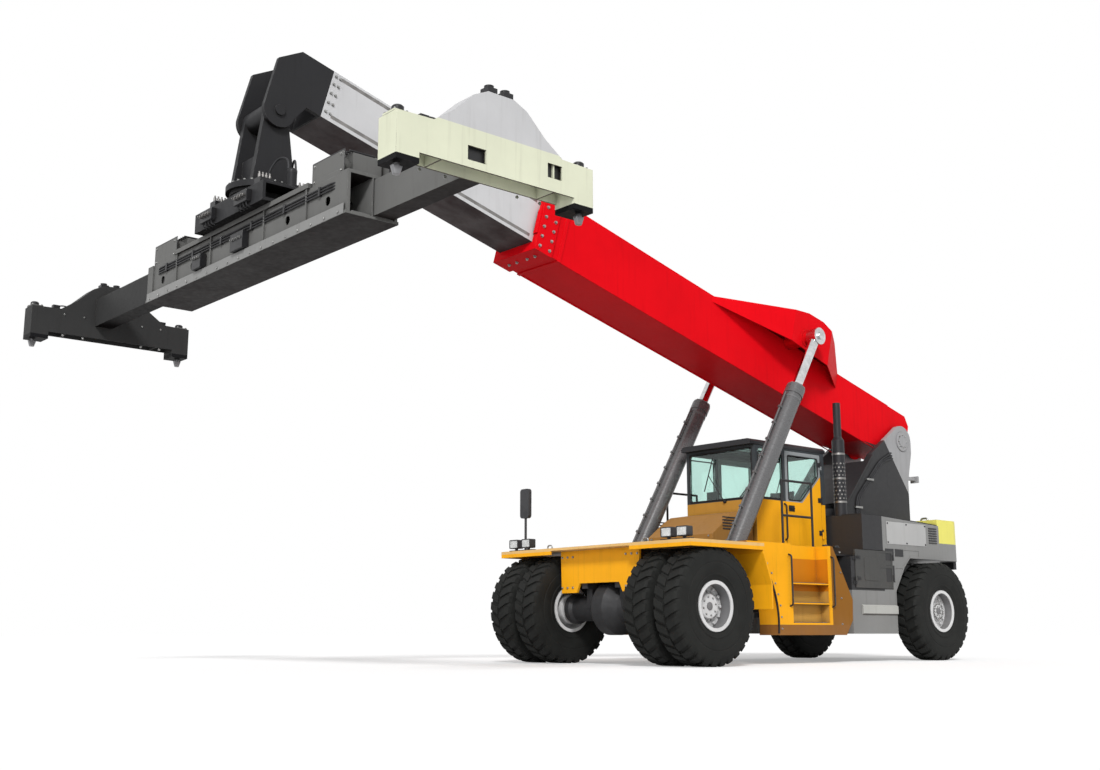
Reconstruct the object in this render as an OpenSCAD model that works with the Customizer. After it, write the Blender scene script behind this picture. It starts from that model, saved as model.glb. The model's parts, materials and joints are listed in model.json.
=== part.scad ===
// Reach stacker: a container handler with a telescopic boom and a spreader.
// X points forward, Y to the left and Z up.
// The origin lies on the ground below the middle of the front axle.

/* [Wheels] */
// Distance between the front and the rear axle
wheelbase = 6240; // [6100:20:6400]
// Outer diameter of every tyre
tyre_d = 1660; // [1600:10:1680]
// Width of one tyre
tyre_w = 500; // [440:10:520]
// Diameter of the rim under the tyre's bead
rim_d = 640; // [600:10:680]
// Distance from the centre plane to the middle of a front inner tyre
dual_y = 1200; // [1190:10:1240]
// Distance between the middles of two twin tyres
dual_pitch = 600; // [560:10:620]
// Distance from the centre plane to the middle of a rear tyre
rear_y = 1400; // [1390:10:1430]
// Distance from the centre plane to a kingpin
king_y = 1050; // [1040:5:1060]
// Number of nuts on a wheel
nuts = 12; // [8:2:16]
// Depth of the grooves round the tread
groove_d = 24; // [10:2:40]

/* [Frame] */
// Distance from the centre plane to the inner face of a girder
girder_y = 300; // [280:10:310]
// Width of a girder
girder_w = 120; // [100:5:125]
// Height of the top of the girders
frame_z = 1700; // [1690:5:1720]
// Height of the underside of the girders between the axles
belly_z = 720; // [650:10:760]
// Front end of the girders
frame_front = 300; // [200:10:400]
// Distance from the rear axle to the rear end of the girders
tail_over = 910; // [860:10:920]
// Distance that the counterweight stands out behind the girders
weight_out = 220; // [200:10:240]
// Height of the counterweight's top
weight_top = 2440; // [2380:10:2500]
// Thickness of a deck plate
deck_t = 40; // [20:2:50]
// Front edge of the deck
deck_front = 550; // [500:10:600]
// Diameter of a guard rail's tube
rail_d = 38; // [30:2:48]
// Height of the upper guard rail above the walkway
rail_h = 1110; // [900:10:1200]

/* [Boom] */
// Distance of the boom's pivot behind the rear axle
pivot_back = 560; // [480:10:600]
// Height of the boom's pivot
pivot_z = 3950; // [3900:10:4050]
// Angle of the boom above the level
boom_angle = 15; // [13:0.5:17]
// Width of the outer boom
boom_w = 920; // [880:10:940]
// Height of the outer boom
boom_h = 930; // [900:10:960]
// Depth of the outer boom below its pivot
boom_drop = 330; // [310:10:340]
// Distance from the pivot to the outer boom's nose
boom_len = 9030; // [8800:10:9200]
// Thickness of the boom's plates
boom_t = 16; // [12:1:22]
// Width of the inner boom
inner_w = 750; // [700:10:780]
// Height of the inner boom
inner_h = 700; // [640:10:720]
// Distance from the pivot to the inner boom's tail
inner_tail = 4500; // [4500:10:5200]
// Distance from the pivot to the head pin, along the boom
head_u = 13285; // [13200:5:13400]
// Distance of the head pin below the boom's pivot line
head_w = 454; // [420:2:480]

/* [Lift cylinders] */
// Distance from the centre plane to a lift cylinder
lift_y = 1050; // [1040:5:1060]
// Place of the lower pins along the machine
lift_x = -1120; // [-1150:5:-1100]
// Height of the lower pins
lift_z = 1100; // [1080:5:1120]
// Distance from the boom's pivot to the upper pins, along the boom
lift_u = 3321; // [3280:5:3360]
// Height of the upper pins above the boom's pivot line
lift_w = 611; // [590:5:640]
// Outer diameter of a tube
lift_tube_d = 300; // [280:5:310]
// Diameter of a rod
lift_rod_d = 170; // [150:5:190]
// Length of a tube from its pin to its mouth
lift_tube_l = 3900; // [3880:10:3960]

/* [Tower and body] */
// Distance from the centre plane to the inner face of a tower plate
tower_y = 520; // [505:5:530]
// Thickness of a tower plate
tower_t = 80; // [60:5:90]
// Distance from the cab's rear to the tower's front
tower_gap = 530; // [480:10:560]
// Length of the engine
engine_l = 1300; // [1200:10:1400]
// Distance from the centre plane to the outer face of a compartment
side_y = 1420; // [1380:10:1440]
// Height of the compartments' top
side_z = 2400; // [2300:10:2420]
// Distance from the centre plane to the inner face of a side body
flank_in = 1280; // [1270:5:1300]
// Distance from the centre plane to the outer face of a side body
flank_out = 1660; // [1640:10:1700]
// Height of a side body's top, level with its uppermost step
flank_top = 1805; // [1760:5:1810]
// Width of the steps in a side body
step_w = 900; // [700:10:960]
// Thickness of thin sheet covers
sheet = 20; // [12:1:30]
// Height of the exhaust's top
exhaust_top = 4350; // [4000:10:4400]

/* [Cab] */
// Distance from the rear axle to the cab's rear
cab_back = 2020; // [2000:5:2060]
// Length of the cab
cab_l = 1800; // [1780:5:1820]
// Width of the cab
cab_w = 1500; // [1440:10:1520]
// Height of the cab's floor above the girders
cab_lift = 60; // [55:5:80]
// Height of the cab's roof above the ground
cab_top = 3560; // [3500:5:3570]
// Thickness of the cab's walls and doors
cab_t = 50; // [40:2:60]
// Height of the window sills above the ground
sill_z = 2620; // [2550:10:2700]
// Width of a cab door
door_w = 950; // [900:10:980]

/* [Spreader] */
// Half the length of the spreader, to the ends of its end beams
reach = 4870; // [4800:10:4900]
// Half the length of the main beam
main_half = 2600; // [2500:10:2640]
// Half the length of an end beam
end_half = 1220; // [1200:5:1230]
// Width of an end beam across
end_w = 300; // [260:10:320]
// Height of an end beam's gable above the corner blocks' underside
gable_h = 945; // [900:5:950]
// Distance from the head pin down to the underside of the corner blocks
hang = 2240; // [2200:10:2280]
// Width of one telescopic beam
tele_w = 260; // [240:5:270]
// Height of one telescopic beam
tele_h = 420; // [380:10:440]
// Distance between twistlocks across the spreader
lock_x = 2259; // [2240:1:2270]
// Distance from a twistlock to the end of the spreader
lock_in = 123.5; // [110:0.5:140]
// Diameter of a twistlock's shank
lock_d = 64; // [50:2:70]

/* [Hidden] */
$fn = 96;

yellow = "orange";
steel = "dimgray";
dark = [0.15, 0.15, 0.16];
pale = "gainsboro";
tint = [0.6, 0.8, 0.75, 0.5];

// Gap between pieces that are bolted or welded to each other
seat_gap = 0.3;
// Radial clearance of a pin in its bore
run = 0.1;
// Free space round moving panels
free = 8;

// Heights
axle_z = tyre_d / 2;
deck_z = frame_z + seat_gap;
deck_top = deck_z + deck_t;
walk_t = 30;
walk_top = deck_z + walk_t;
// Free height over the rear tyres
over_wheel = tyre_d + 60;

// Places along the machine, from the rear axle
rear_axle = -wheelbase;
frame_rear = rear_axle - tail_over;
tail_x = frame_rear - weight_out;
pivot_x = rear_axle - pivot_back;
cab_rear = rear_axle + cab_back;
cab_front = cab_rear + cab_l;
tower_front = cab_rear - tower_gap;
tower_rear = pivot_x - 150;

// Places across the machine
girder_out = girder_y + girder_w;
tower_out = tower_y + tower_t;
deck_y = dual_y + dual_pitch + tyre_w / 2 + 20;

module block(x0, x1, y0, y1, z0, z1) translate([x0, y0, z0]) cube([x1 - x0, y1 - y0, z1 - z0]);
module pair() {
    children();
    mirror([0, 1, 0]) children();
}
module side(s) mirror([0, s < 0 ? 1 : 0, 0]) children();
// An x-z outline stretched from y0 to y1
module wall_y(y0, y1) translate([0, y1, 0]) rotate([90, 0, 0]) linear_extrude(y1 - y0) children();
// A y-z outline stretched from x0 to x1
module wall_x(x0, x1) translate([x0, 0, 0]) rotate([90, 0, 90]) linear_extrude(x1 - x0) children();
// Round bars about the X, Y and Z axes
module rod_x(r, x0, x1) translate([x0, 0, 0]) rotate([0, 90, 0]) cylinder(r = r, h = x1 - x0);
module rod_y(r, y0, y1) translate([0, y0, 0]) rotate([-90, 0, 0]) cylinder(r = r, h = y1 - y0);
module rod_z(r, z0, z1) translate([0, 0, z0]) cylinder(r = r, h = z1 - z0);
// A body turned about the Y axis from points of radius and y
module turned_y(points) rotate([-90, 0, 0]) rotate_extrude() polygon(points);
// A rectangle with round corners, from its lowest to its highest corner
module rounded(a0, a1, b0, b1, r) {
    translate([a0 + r, b0]) square([a1 - a0 - 2 * r, b1 - b0]);
    translate([a0, b0 + r]) square([a1 - a0, b1 - b0 - 2 * r]);
    for (a = [a0 + r, a1 - r]) for (b = [b0 + r, b1 - r]) translate([a, b]) circle(r);
}
module at_boom() translate([pivot_x, 0, pivot_z]) rotate([0, -boom_angle, 0]) children();

// Wheels

tyre_r = tyre_d / 2;
rim_r = rim_d / 2;
rim_t = 16;
flange_h = 34;
flange_t = 17;
// Half the width of a tyre between its beads
bead = 0.40 * tyre_w;
// The tyre's half outline: a point's radius, and its place across as a share of the width
module tyre() {
    h = tyre_r - rim_r;
    groove_r = tyre_r - groove_d;
    half = [[rim_r + seat_gap, 0.40], [rim_r + flange_h + 10, 0.40], [rim_r + 0.2 * h, 0.46],
        [rim_r + 0.45 * h, 0.50], [tyre_r - 0.2 * h, 0.48], [tyre_r - 0.06 * h, 0.44], [tyre_r, 0.37],
        [tyre_r, 0.20], [groove_r, 0.18], [groove_r, 0.13], [tyre_r, 0.11]];
    n = len(half);
    turned_y(concat([for (p = half) [p[0], p[1] * tyre_w]],
        [for (i = [n - 1:-1:0]) [half[i][0], -half[i][1] * tyre_w]]));
}
module rim_barrel(y) translate([0, y, 0]) difference() {
    union() {
        rod_y(rim_r, -bead - flange_t, bead + flange_t);
        rod_y(rim_r + flange_h, -bead - flange_t, -bead - seat_gap);
        rod_y(rim_r + flange_h, bead + seat_gap, bead + flange_t);
    }
    rod_y(rim_r - rim_t, -tyre_w, tyre_w);
}
nut_r = 24;
nut_h = 34;
disc_t = 40;
// A ring of hexagonal nuts that stands on a wheel's disc
module nut_ring(circle_r, y) for (k = [0:nuts - 1])
    rotate([0, k * 360 / nuts, 0]) translate([circle_r, y - 1, 0]) rotate([-90, 0, 0])
        cylinder(r = nut_r, h = nut_h + 1, $fn = 6);
spindle_r = 150;
hub_r = 225;
hub_in = dual_y - 230;
hub_out = dual_y + dual_pitch + 40;
cap_r = hub_r - 45;
cap_h = 50;
module front_rims() {
    outer_y = dual_y + dual_pitch;
    inner_r = rim_r - rim_t;
    difference() {
        union() {
            for (y = [dual_y, outer_y]) {
                rim_barrel(y);
                rod_y(inner_r + rim_t / 2, y - disc_t / 2, y + disc_t / 2);
            }
            turned_y([[inner_r - 2, dual_y], [rim_r, dual_y], [rim_r, outer_y], [inner_r - 2, outer_y]]);
            turned_y([[0, hub_in], [hub_r, hub_in], [hub_r, hub_out - 20], [hub_r - 20, hub_out], [cap_r,
                hub_out],
                [cap_r, hub_out + cap_h - 15], [cap_r - 15, hub_out + cap_h], [0, hub_out + cap_h]]);
            nut_ring((hub_r + inner_r) / 2, outer_y + disc_t / 2);
        }
        rod_y(spindle_r + run, hub_in - 1, hub_out - 40);
    }
}
module front_tyres() for (y = [dual_y, dual_y + dual_pitch]) translate([0, y, 0]) tyre();
stub_r = 80;
rear_hub_r = 150;
rear_hub_in = king_y + 130;
rear_disc = rear_y + 60;
module rear_rim() difference() {
    union() {
        rim_barrel(rear_y);
        rod_y(rim_r - rim_t / 2, rear_disc - disc_t, rear_disc);
        turned_y([[0, rear_hub_in], [rear_hub_r, rear_hub_in], [rear_hub_r, rear_disc + 20],
            [rear_hub_r - 30, rear_disc + 40], [rear_hub_r - 30, rear_disc + 60], [rear_hub_r - 45,
            rear_disc + 70],
            [0, rear_disc + 70]]);
        nut_ring((rear_hub_r + rim_r - rim_t) / 2, rear_disc);
    }
    rod_y(stub_r + run, rear_hub_in - 1, rear_y + 90);
}

// Axles

axle_pad = 290;
module drive_axle() color(steel) translate([0, 0, axle_z]) {
    // Half of the housing: radius and distance from the middle, from the hub to the differential
    half = [[0, hub_out - 60], [spindle_r, hub_out - 60], [spindle_r, hub_in - 60], [230, hub_in - 60],
        [230, hub_in - 150], [190, hub_in - 200], [190, 340], [260, 290], [400, 110]];
    n = len(half);
    turned_y(concat([for (p = half) [p[0], -p[1]]], [for (i = [n - 1:-1:0]) half[i]]));
    rod_x(160, -640, -240);
    rod_x(110, -700, -639);
    pair() block(-200, 200, girder_y, girder_out, 0, axle_pad);
}
beam_h = 150;
fork_z = 145;
fork_t = 60;
fork_r = 115;
king_r = 60;
steer_pad = 350;
module steer_axle() color(steel) translate([rear_axle, 0, axle_z]) difference() {
    union() {
        block(-150, 150, -king_y + 220, king_y - 220, -beam_h, beam_h);
        block(-200, 200, -240, 240, 0, steer_pad);
        // Steering cylinder in its two brackets
        translate([-330, 0, 0]) {
            rod_y(75, -420, 420);
            pair() block(0, 190, 250, 300, -60, 60);
        }
        pair() for (z = [fork_z, -fork_z - fork_t]) translate([0, king_y, z]) {
            cylinder(r = fork_r, h = fork_t);
            block(-fork_r, fork_r, -240, 0, 0, fork_t);
        }
    }
    pair() translate([0, king_y, 0]) rod_z(king_r + run, -fork_z - fork_t - 1, fork_z + fork_t + 1);
}
module knuckle() translate([rear_axle, 0, axle_z]) {
    translate([0, king_y, 0]) {
        rod_z(king_r, -fork_z - fork_t, fork_z + fork_t);
        rod_z(fork_r - 10, -fork_z + 3, fork_z - 3);
        block(-230, 0, -30, 30, -40, 20);
    }
    rod_y(stub_r, king_y, rear_y + 80);
}

// Frame

// Ends of the girders' deep part, behind the front axle and before the rear axle
deep_front = -1300;
deep_rear = rear_axle + 1340;
bracket_t = 80;
eye_w = 190;
eye_free = 10;
pin_r = 60;
outrigger_z = [780, 980];
// Places of the steps and the ends of a side body
flank_front = -1000;
flank_rear = -3630;
step_front = -2130;
// Ends of the compartments: front, rear below the tyre's top, rear above it
box_front = rear_axle + 2290;
box_rear = rear_axle + 1050;
box_end = rear_axle - 320;
module chassis_frame() color(dark) {
    front_low = axle_z + axle_pad + seat_gap;
    rear_low = axle_z + steer_pad + seat_gap;
    top_in = frame_z - 80;
    pair() wall_y(girder_y, girder_out) polygon([[frame_front, front_low], [deep_front + 400, front_low],
        [deep_front, belly_z], [deep_rear, belly_z], [deep_rear - 340, rear_low], [frame_rear, rear_low],
        [frame_rear, frame_z], [frame_front, frame_z]]);
    // Cross members between the girders: x0, x1, z0, z1
    middle = (deep_front + deep_rear) / 2;
    for (m = [[frame_front - 120, frame_front, front_low + 120, frame_z],
            [deep_front - 400, deep_front - 100, belly_z + 60, top_in], [middle - 100, middle + 100,
            belly_z + 60, top_in],
            [deep_rear + 100, deep_rear + 300, belly_z + 60, top_in], [rear_axle - 200, rear_axle + 200,
            rear_low, top_in],
            [frame_rear, frame_rear + 60, rear_low, frame_z]])
        block(m[0], m[1], -girder_y - 1, girder_y + 1, m[2], m[3]);
    // Outriggers of the side bodies and of the compartments: middle and length
    for (m = [[step_front + 30, flank_in], [flank_rear + 430, flank_in], [(box_front + box_rear) / 2,
        tower_out + seat_gap]])
        pair() block(m[0] - 90, m[0] + 90, girder_out - 1, m[1] - seat_gap, outrigger_z[0], outrigger_z[1]);
    // Brackets and pins of the lift cylinders
    eye_out = eye_w / 2 + eye_free;
    pair() {
        block(lift_x - 400, lift_x + 180, girder_out - 1, lift_y + eye_out + bracket_t, belly_z,
            lift_z - 200);
        for (y = [lift_y - eye_out - bracket_t, lift_y + eye_out]) wall_y(y, y + bracket_t) {
            polygon([[lift_x - 300, belly_z + 10], [lift_x + 180, belly_z + 10], [lift_x + 130, lift_z],
                [lift_x - 130, lift_z]]);
            translate([lift_x, lift_z]) circle(130);
        }
        translate([lift_x, 0, lift_z]) rod_y(pin_r, lift_y - eye_out - 1, lift_y + eye_out + 1);
    }
}

deck_rear = -1000;
apron_y = 860;
apron_low = 1060;
apron_step = 1200;
lip_h = 60;
lip_t = 20;
guard_t = 25;
guard_bend = 1150;
guard_low = 800;
module front_deck() color(yellow) {
    block(deck_rear, deck_front, -deck_y, deck_y, deck_z, deck_top);
    // Folded edges in front and outside
    pair() {
        block(deck_front - lip_t, deck_front, apron_y, deck_y, deck_z - lip_h, deck_z + 1);
        block(deck_rear, deck_front, deck_y - lip_t, deck_y, deck_z - lip_h, deck_z + 1);
    }
    // Apron below the deck's front edge
    wall_x(frame_front + seat_gap, frame_front + seat_gap + 40) polygon([[-apron_y, frame_z + 1],
        [apron_y, frame_z + 1], [apron_y - 20, apron_low], [500, apron_low], [430, apron_step], [-430,
        apron_step],
        [-500, apron_low], [-apron_y + 20, apron_low]]);
    // Mudguards behind the tyres
    pair() wall_y(lift_y + 250, deck_y) polygon([[deck_rear, deck_z + 1], [deck_rear + guard_t, deck_z + 1],
        [deck_rear + guard_t, frame_z - 100], [deck_rear - 140, guard_bend], [deck_rear - 140, guard_low],
        [deck_rear - 140 - guard_t, guard_low], [deck_rear - 140 - guard_t, guard_bend + 5], [deck_rear,
        frame_z - 90]]);
}
cover_y = 700;
cover_front = -1420;
cover_rear = cab_front + 40;
cover_top = 2400;
module front_cover() color(yellow) intersection() {
    wall_y(-cover_y, cover_y) polygon([[cover_front, deck_z], [cover_front, 1980],
        [(cover_front + cover_rear) / 2, 2330],
        [cover_rear, cover_top], [cover_rear, deck_z]]);
    wall_x(cover_rear, cover_front) polygon([[-cover_y, deck_z], [-cover_y, cover_top - 160],
        [-cover_y + 90, cover_top + 1], [cover_y - 90, cover_top + 1], [cover_y, cover_top - 160],
        [cover_y, deck_z]]);
}

// Rear body

boss_out = 20;
module boom_tower() color(steel) {
    top_r = 290;
    crest = [pivot_x + 1000, pivot_z - 330];
    foot = [tower_front, 2450];
    slope = (crest - foot) / norm(crest - foot);
    across = [-slope[1], slope[0]];
    pair() {
        wall_y(tower_y, tower_out) {
            polygon([[tower_front, deck_z], foot, crest, [pivot_x + 180, pivot_z + 225], [pivot_x,
                pivot_z + top_r - 1],
                [pivot_x - top_r, pivot_z], [pivot_x - top_r, pivot_z - 200], [tower_rear, pivot_z - 750],
                [tower_rear, deck_z]]);
            translate([pivot_x, pivot_z]) circle(top_r);
        }
        // Flange along the slanting front edge, and the bracket of a work lamp behind
        wall_y(tower_out - 1, tower_out + 50)
            polygon([foot, crest, crest + 30 * across, foot + 30 * across]);
        block(tower_rear - 290, tower_rear + 1, tower_y + 10, tower_out - 10, pivot_z - 700, pivot_z - 640);
        block(tower_rear - 290, tower_rear - 250, tower_y - 40, tower_out + 40, pivot_z - 740,
            pivot_z - 620);
    }
    block(tower_rear, tower_front, -tower_y - 1, tower_y + 1, deck_z, walk_top);
    // Plates between the two sides: behind the cab, and at the rear
    wall_y(-tower_y - 1, tower_y + 1) polygon([foot + 340 * slope, crest - 160 * slope,
        crest - 160 * slope + 30 * across,
        foot + 340 * slope + 30 * across]);
    block(tower_rear, tower_rear + 40, -tower_y - 1, tower_y + 1, 2500, pivot_z - 750);
    translate([pivot_x, 0, pivot_z]) {
        rod_y(110, -tower_out - boss_out - 10, tower_out + boss_out + 10);
        pair() rod_y(180, tower_out - 1, tower_out + boss_out);
    }
}
hood_z = walk_top + seat_gap;
hood_y = tower_y - seat_gap;
hood_front = cab_rear - 180;
hood_rear = rear_axle + 40;
hood_top = 2560;
hood_crest = 2650;
slot_pitch = 70;
slot_w = 28;
module engine_block() color(steel) block(hood_front - 200 - engine_l, hood_front - 200, -420, 420, hood_z,
    2350);
// The hood's outline, moved inwards by t
module hood_outline(t) polygon([[hood_front - t, hood_z - (t > 0 ? 1 : 0)], [hood_front - t, hood_top - t],
    [hood_rear + 450, hood_crest - t], [hood_rear + t, hood_top - 140 - t], [hood_rear + t,
    hood_z - (t > 0 ? 1 : 0)]]);
module engine_hood() color(dark) difference() {
    wall_y(-hood_y, hood_y) hood_outline(0);
    wall_y(-hood_y + sheet, hood_y - sheet) hood_outline(sheet);
    // Air slots across the top and in the rear
    for (x = [hood_rear + 520:slot_pitch:hood_front - 250]) for (y = [-400, 40])
        block(x, x + slot_w, y, y + 360, hood_top - 60, hood_crest + 10);
    for (z = [hood_z + 120:slot_pitch:hood_top - 220]) for (y = [-400, 40])
        block(hood_rear - 1, hood_rear + sheet + 1, y, y + 360, z, z + slot_w);
}
box_up = box_front - 350;
box_low = 450;
top_bend = box_front - 850;
top_drop = 80;
// The arch's outline before the rear tyre: x and z
arch = [[box_rear, 1150], [box_rear - 280, over_wheel - 160], [box_rear - 450, over_wheel]];
door_z0 = 1180;
// The compartment's door stays below the swing of the cab's door
door_z1 = frame_z + cab_lift + 60;
door_x1 = box_front - 100;
door_x0 = box_rear + 80;
side_out = 10;
side_hinge_z = [door_z0 + 60, door_z1 - 180];
panel_in = 6;
module box_outline(t) polygon([[box_front - t, box_low + t], [box_front - t, deck_z - 10 - t],
    [box_up - t, deck_z - 10 - t], [box_up - t, side_z - t], [top_bend, side_z - t],
    [box_end + t, side_z - t - top_drop], [box_end + t, over_wheel + t], [arch[2][0] + t, over_wheel + t],
    [arch[1][0] + t, arch[1][1]], [arch[0][0] + t, arch[0][1]], [box_rear + t, box_low + t]]);
// Height of the compartments' sloping top at x
function roof_at(x) = side_z - top_drop * max(0, top_bend - x) / (top_bend - box_end);
module compartments() color("gray") pair() {
    difference() {
        wall_y(tower_out + seat_gap, side_y) box_outline(0);
        wall_y(tower_out + seat_gap + sheet, side_y - sheet) box_outline(sheet);
        block(door_x0, door_x1, side_y - sheet - 1, side_y + 1, door_z0, door_z1);
        // Two sunk panels beside the arch
        wall_y(side_y - panel_in, side_y + 1) {
            polygon([[box_rear - 10, over_wheel + 130], [box_rear - 720, over_wheel + 130],
                [box_rear - 720, over_wheel + 40],
                [arch[2][0] - 20, over_wheel + 40], [arch[1][0] + 40, over_wheel - 140], [box_rear - 10,
                over_wheel - 140]]);
            polygon([[box_rear - 10, arch[1][1] - 20], [arch[1][0] + 60, arch[1][1] - 20], [box_rear - 20,
                arch[0][1] + 90],
                [box_rear - 10, arch[0][1] + 90]]);
        }
    }
    for (z = side_hinge_z) translate([door_x1, side_y + side_out + hinge_r, z]) hinge_lug(1, side_out);
    // Rubbing strip low on the outer wall
    wall_x(box_rear + 10, box_front - 250)
        polygon([[side_y - 1, 750], [side_y + 30, 775], [side_y + 30, 895], [side_y - 1, 920]]);
}
// A hinge on an upright pin: the lug and its pin belong to the frame of the door, the barrel to the door
hinge_r = 14;
hinge_pin = 8;
hinge_h = 60;
hinge_leaf = 6;
module hinge_lug(way, depth) {
    cylinder(r = hinge_r, h = hinge_h);
    cylinder(r = hinge_pin, h = 2 * hinge_h);
    scale([way, 1, 1]) block(0, 50, -hinge_r - depth - 1, -hinge_r + hinge_leaf, 0, hinge_h);
}
module hinge_barrel(way) difference() {
    union() {
        rod_z(hinge_r, hinge_h + seat_gap, 2 * hinge_h);
        scale([way, 1, 1]) block(0, 60, -hinge_r - 1, -hinge_r + hinge_leaf, hinge_h + seat_gap,
            2 * hinge_h);
    }
    cylinder(r = hinge_pin + run, h = 3 * hinge_h);
}
module side_door() {
    split_x = door_x0 + 360;
    split_z = (door_z0 + door_z1) / 2 + 50;
    difference() {
        block(door_x0 + free, door_x1 - free, side_y - sheet, side_y + side_out, door_z0 + free,
            door_z1 - free);
        // Two sunk panels in the rear half
        for (z = [[door_z0 + 40, split_z - 20], [split_z + 20, door_z1 - 40]])
            block(door_x0 + 40, split_x, side_y + side_out - panel_in, side_y + side_out + 1, z[0], z[1]);
    }
    // Stiffening panel in the front half
    wall_y(side_y + side_out - 1, side_y + side_out + 6)
        rounded(split_x + 40, door_x1 - 250, door_z0 + 130, door_z1 - 130, 30);
    for (z = side_hinge_z) translate([door_x1, side_y + side_out + hinge_r, z]) hinge_barrel(-1);
}
weight_y = 1380;
weight_r = 300;
weight_in = tower_rear - 20;
bevel = 200;
module counterweight() color("gray") difference() {
    translate([0, 0, over_wheel]) linear_extrude(weight_top - over_wheel)
        rounded(tail_x, box_end + 2 * weight_r, -weight_y, weight_y, weight_r);
    // Room for the compartments and for the tower
    block(box_end - 20, box_end + 2 * weight_r + 1, -weight_y - 1, weight_y + 1, over_wheel - 1,
        weight_top + 1);
    block(weight_in, box_end, -tower_out - 20, tower_out + 20, over_wheel - 1, weight_top + 1);
    wall_y(-weight_y - 20, weight_y + 20) polygon([[tail_x - 10, weight_top - bevel - 10],
        [tail_x - 10, weight_top + 10], [tail_x + bevel + 10, weight_top + 10]]);
}
// Lower tail block: two plates with one upright bore stand in a pocket that is open behind and below
tail_y = 440;
tail_low = 620;
tow_x = tail_x + 60;
tow_r = 25;
tow_z = 740;
tow_t = 40;
tow_pitch = 140;
module tow_block() color("gray") difference() {
    block(tail_x, frame_rear - seat_gap, -tail_y, tail_y, tail_low, over_wheel - seat_gap);
    difference() {
        block(tail_x - 1, tail_x + 150, -90, 90, tail_low - 10, tail_low + 500);
        for (z = [tow_z, tow_z + tow_pitch]) block(tail_x, tail_x + 151, -91, 91, z, z + tow_t);
    }
    translate([tow_x, 0, 0]) rod_z(tow_r, tow_z - 1, tow_z + tow_pitch + tow_t + 1);
}
// Steps in a side body: height of the tread, height of the free space over it, depth
flank_low = 430;
steps = [[615, 280, 160], [915, 280, 200], [1215, flank_top - 1214, 240]];
arch_r = 1370;
module side_bodies() color(yellow) pair() difference() {
    wall_y(flank_in, flank_out) polygon([[flank_front, flank_low], [flank_front, flank_top],
        [flank_rear + 480, flank_top],
        [flank_rear + 160, 1260], [flank_rear, 980], [flank_rear + 20, 660], [flank_rear + 190,
        flank_low]]);
    // Round front end behind the twin tyres
    translate([-420, 0, 600]) rod_y(arch_r, flank_in - 1, flank_out + 1, $fn = 360);
    for (s = steps) block(step_front - step_w, step_front, flank_out - s[2], flank_out + 1, s[0],
        s[0] + s[1]);
}
rail_y = flank_in - 30;
rail_ends = [cab_front - 780, cab_front - 30];
exhaust_r = 105;
exhaust_y = 920;
exhaust_x = cab_rear - 200;
module walkways() color(dark) {
    rail_r = rail_d / 2;
    pair() {
        block(cab_rear, cab_front, cab_w / 2 + 40, flank_in - seat_gap, deck_z, walk_top);
        // Guard rail at the walkway's edge
        translate([0, rail_y, walk_top]) {
            for (x = rail_ends) translate([x, 0, 0]) {
                rod_z(rail_r, -1, rail_h);
                translate([0, 0, rail_h]) sphere(rail_r);
            }
            for (z = [rail_h / 2, rail_h]) translate([0, 0, z]) rod_x(rail_r, rail_ends[0], rail_ends[1]);
        }
        // Tread plates on the compartments
        difference() {
            wall_y(tower_out + 60, side_y - 20)
                polygon([[box_up - 20, side_z + seat_gap], [top_bend, side_z + seat_gap],
                [box_end + 20, roof_at(box_end + 20) + seat_gap], [box_end + 20,
                roof_at(box_end + 20) + sheet],
                [top_bend, side_z + sheet], [box_up - 20, side_z + sheet]]);
            translate([exhaust_x, exhaust_y, side_z]) rod_z(exhaust_r + 20, -sheet, 3 * sheet);
        }
    }
}
module exhaust() color(dark) translate([exhaust_x, exhaust_y, 0]) {
    can_top = exhaust_top - 650;
    rod_z(exhaust_r, side_z + seat_gap, can_top);
    translate([0, 0, can_top - 1]) cylinder(r1 = exhaust_r, r2 = 65, h = 60);
    difference() {
        rod_z(65, can_top, exhaust_top);
        rod_z(58, exhaust_top - 200, exhaust_top + 1);
    }
}

// Cab

cab_low = frame_z + cab_lift;
roof_z = cab_top - 90;
cab_y = cab_w / 2;
pillar = 70;
head_room = 50;
corner_r = 60;
door_hinge_x = cab_rear + 100;
door_x = door_hinge_x + door_w;
cab_hinge_z = [cab_low + 250, roof_z - 350];
// Outlines of the windows, made smaller by t all round
module end_window(t) rounded(-cab_y + pillar + t, cab_y - pillar - t, sill_z + t, roof_z - head_room - t,
    corner_r);
module front_window(t) rounded(door_x + pillar + t, cab_front - pillar - t, sill_z + t,
    roof_z - head_room - t, corner_r);
module roof_window(t) rounded(cab_rear + 300 + t, cab_front - 500 - t, -420 + t, 420 - t, corner_r);
// The door's window rises towards the rear
module door_window(t) {
    low = sill_z + t;
    top = roof_z - 110 - t;
    front = door_x - 80 - t;
    rear = door_hinge_x + 80 + t;
    polygon([[front, low], [front, top], [rear, top], [rear, low + 440], [rear + 470, low]]);
}
module cab_body() color(yellow) {
    difference() {
        block(cab_rear, cab_front, -cab_y, cab_y, cab_low, roof_z);
        block(cab_rear + cab_t, cab_front - cab_t, -cab_y + cab_t, cab_y - cab_t, cab_low + cab_t,
            roof_z + 1);
        wall_x(cab_rear - 1, cab_front + 1) end_window(0);
        wall_y(-cab_y - 1, cab_y + 1) front_window(0);
        // Doorways
        block(door_hinge_x, door_x, -cab_y - 1, cab_y + 1, cab_low + cab_t + 10, roof_z - 30);
    }
    // Feet on the girders
    for (x = [cab_rear + 150, cab_front - 250]) pair()
        block(x, x + 100, girder_y, girder_out, deck_z, cab_low + 1);
    pair() for (z = cab_hinge_z) translate([door_hinge_x, cab_y + hinge_r, z]) hinge_lug(-1, 0);
}
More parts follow.
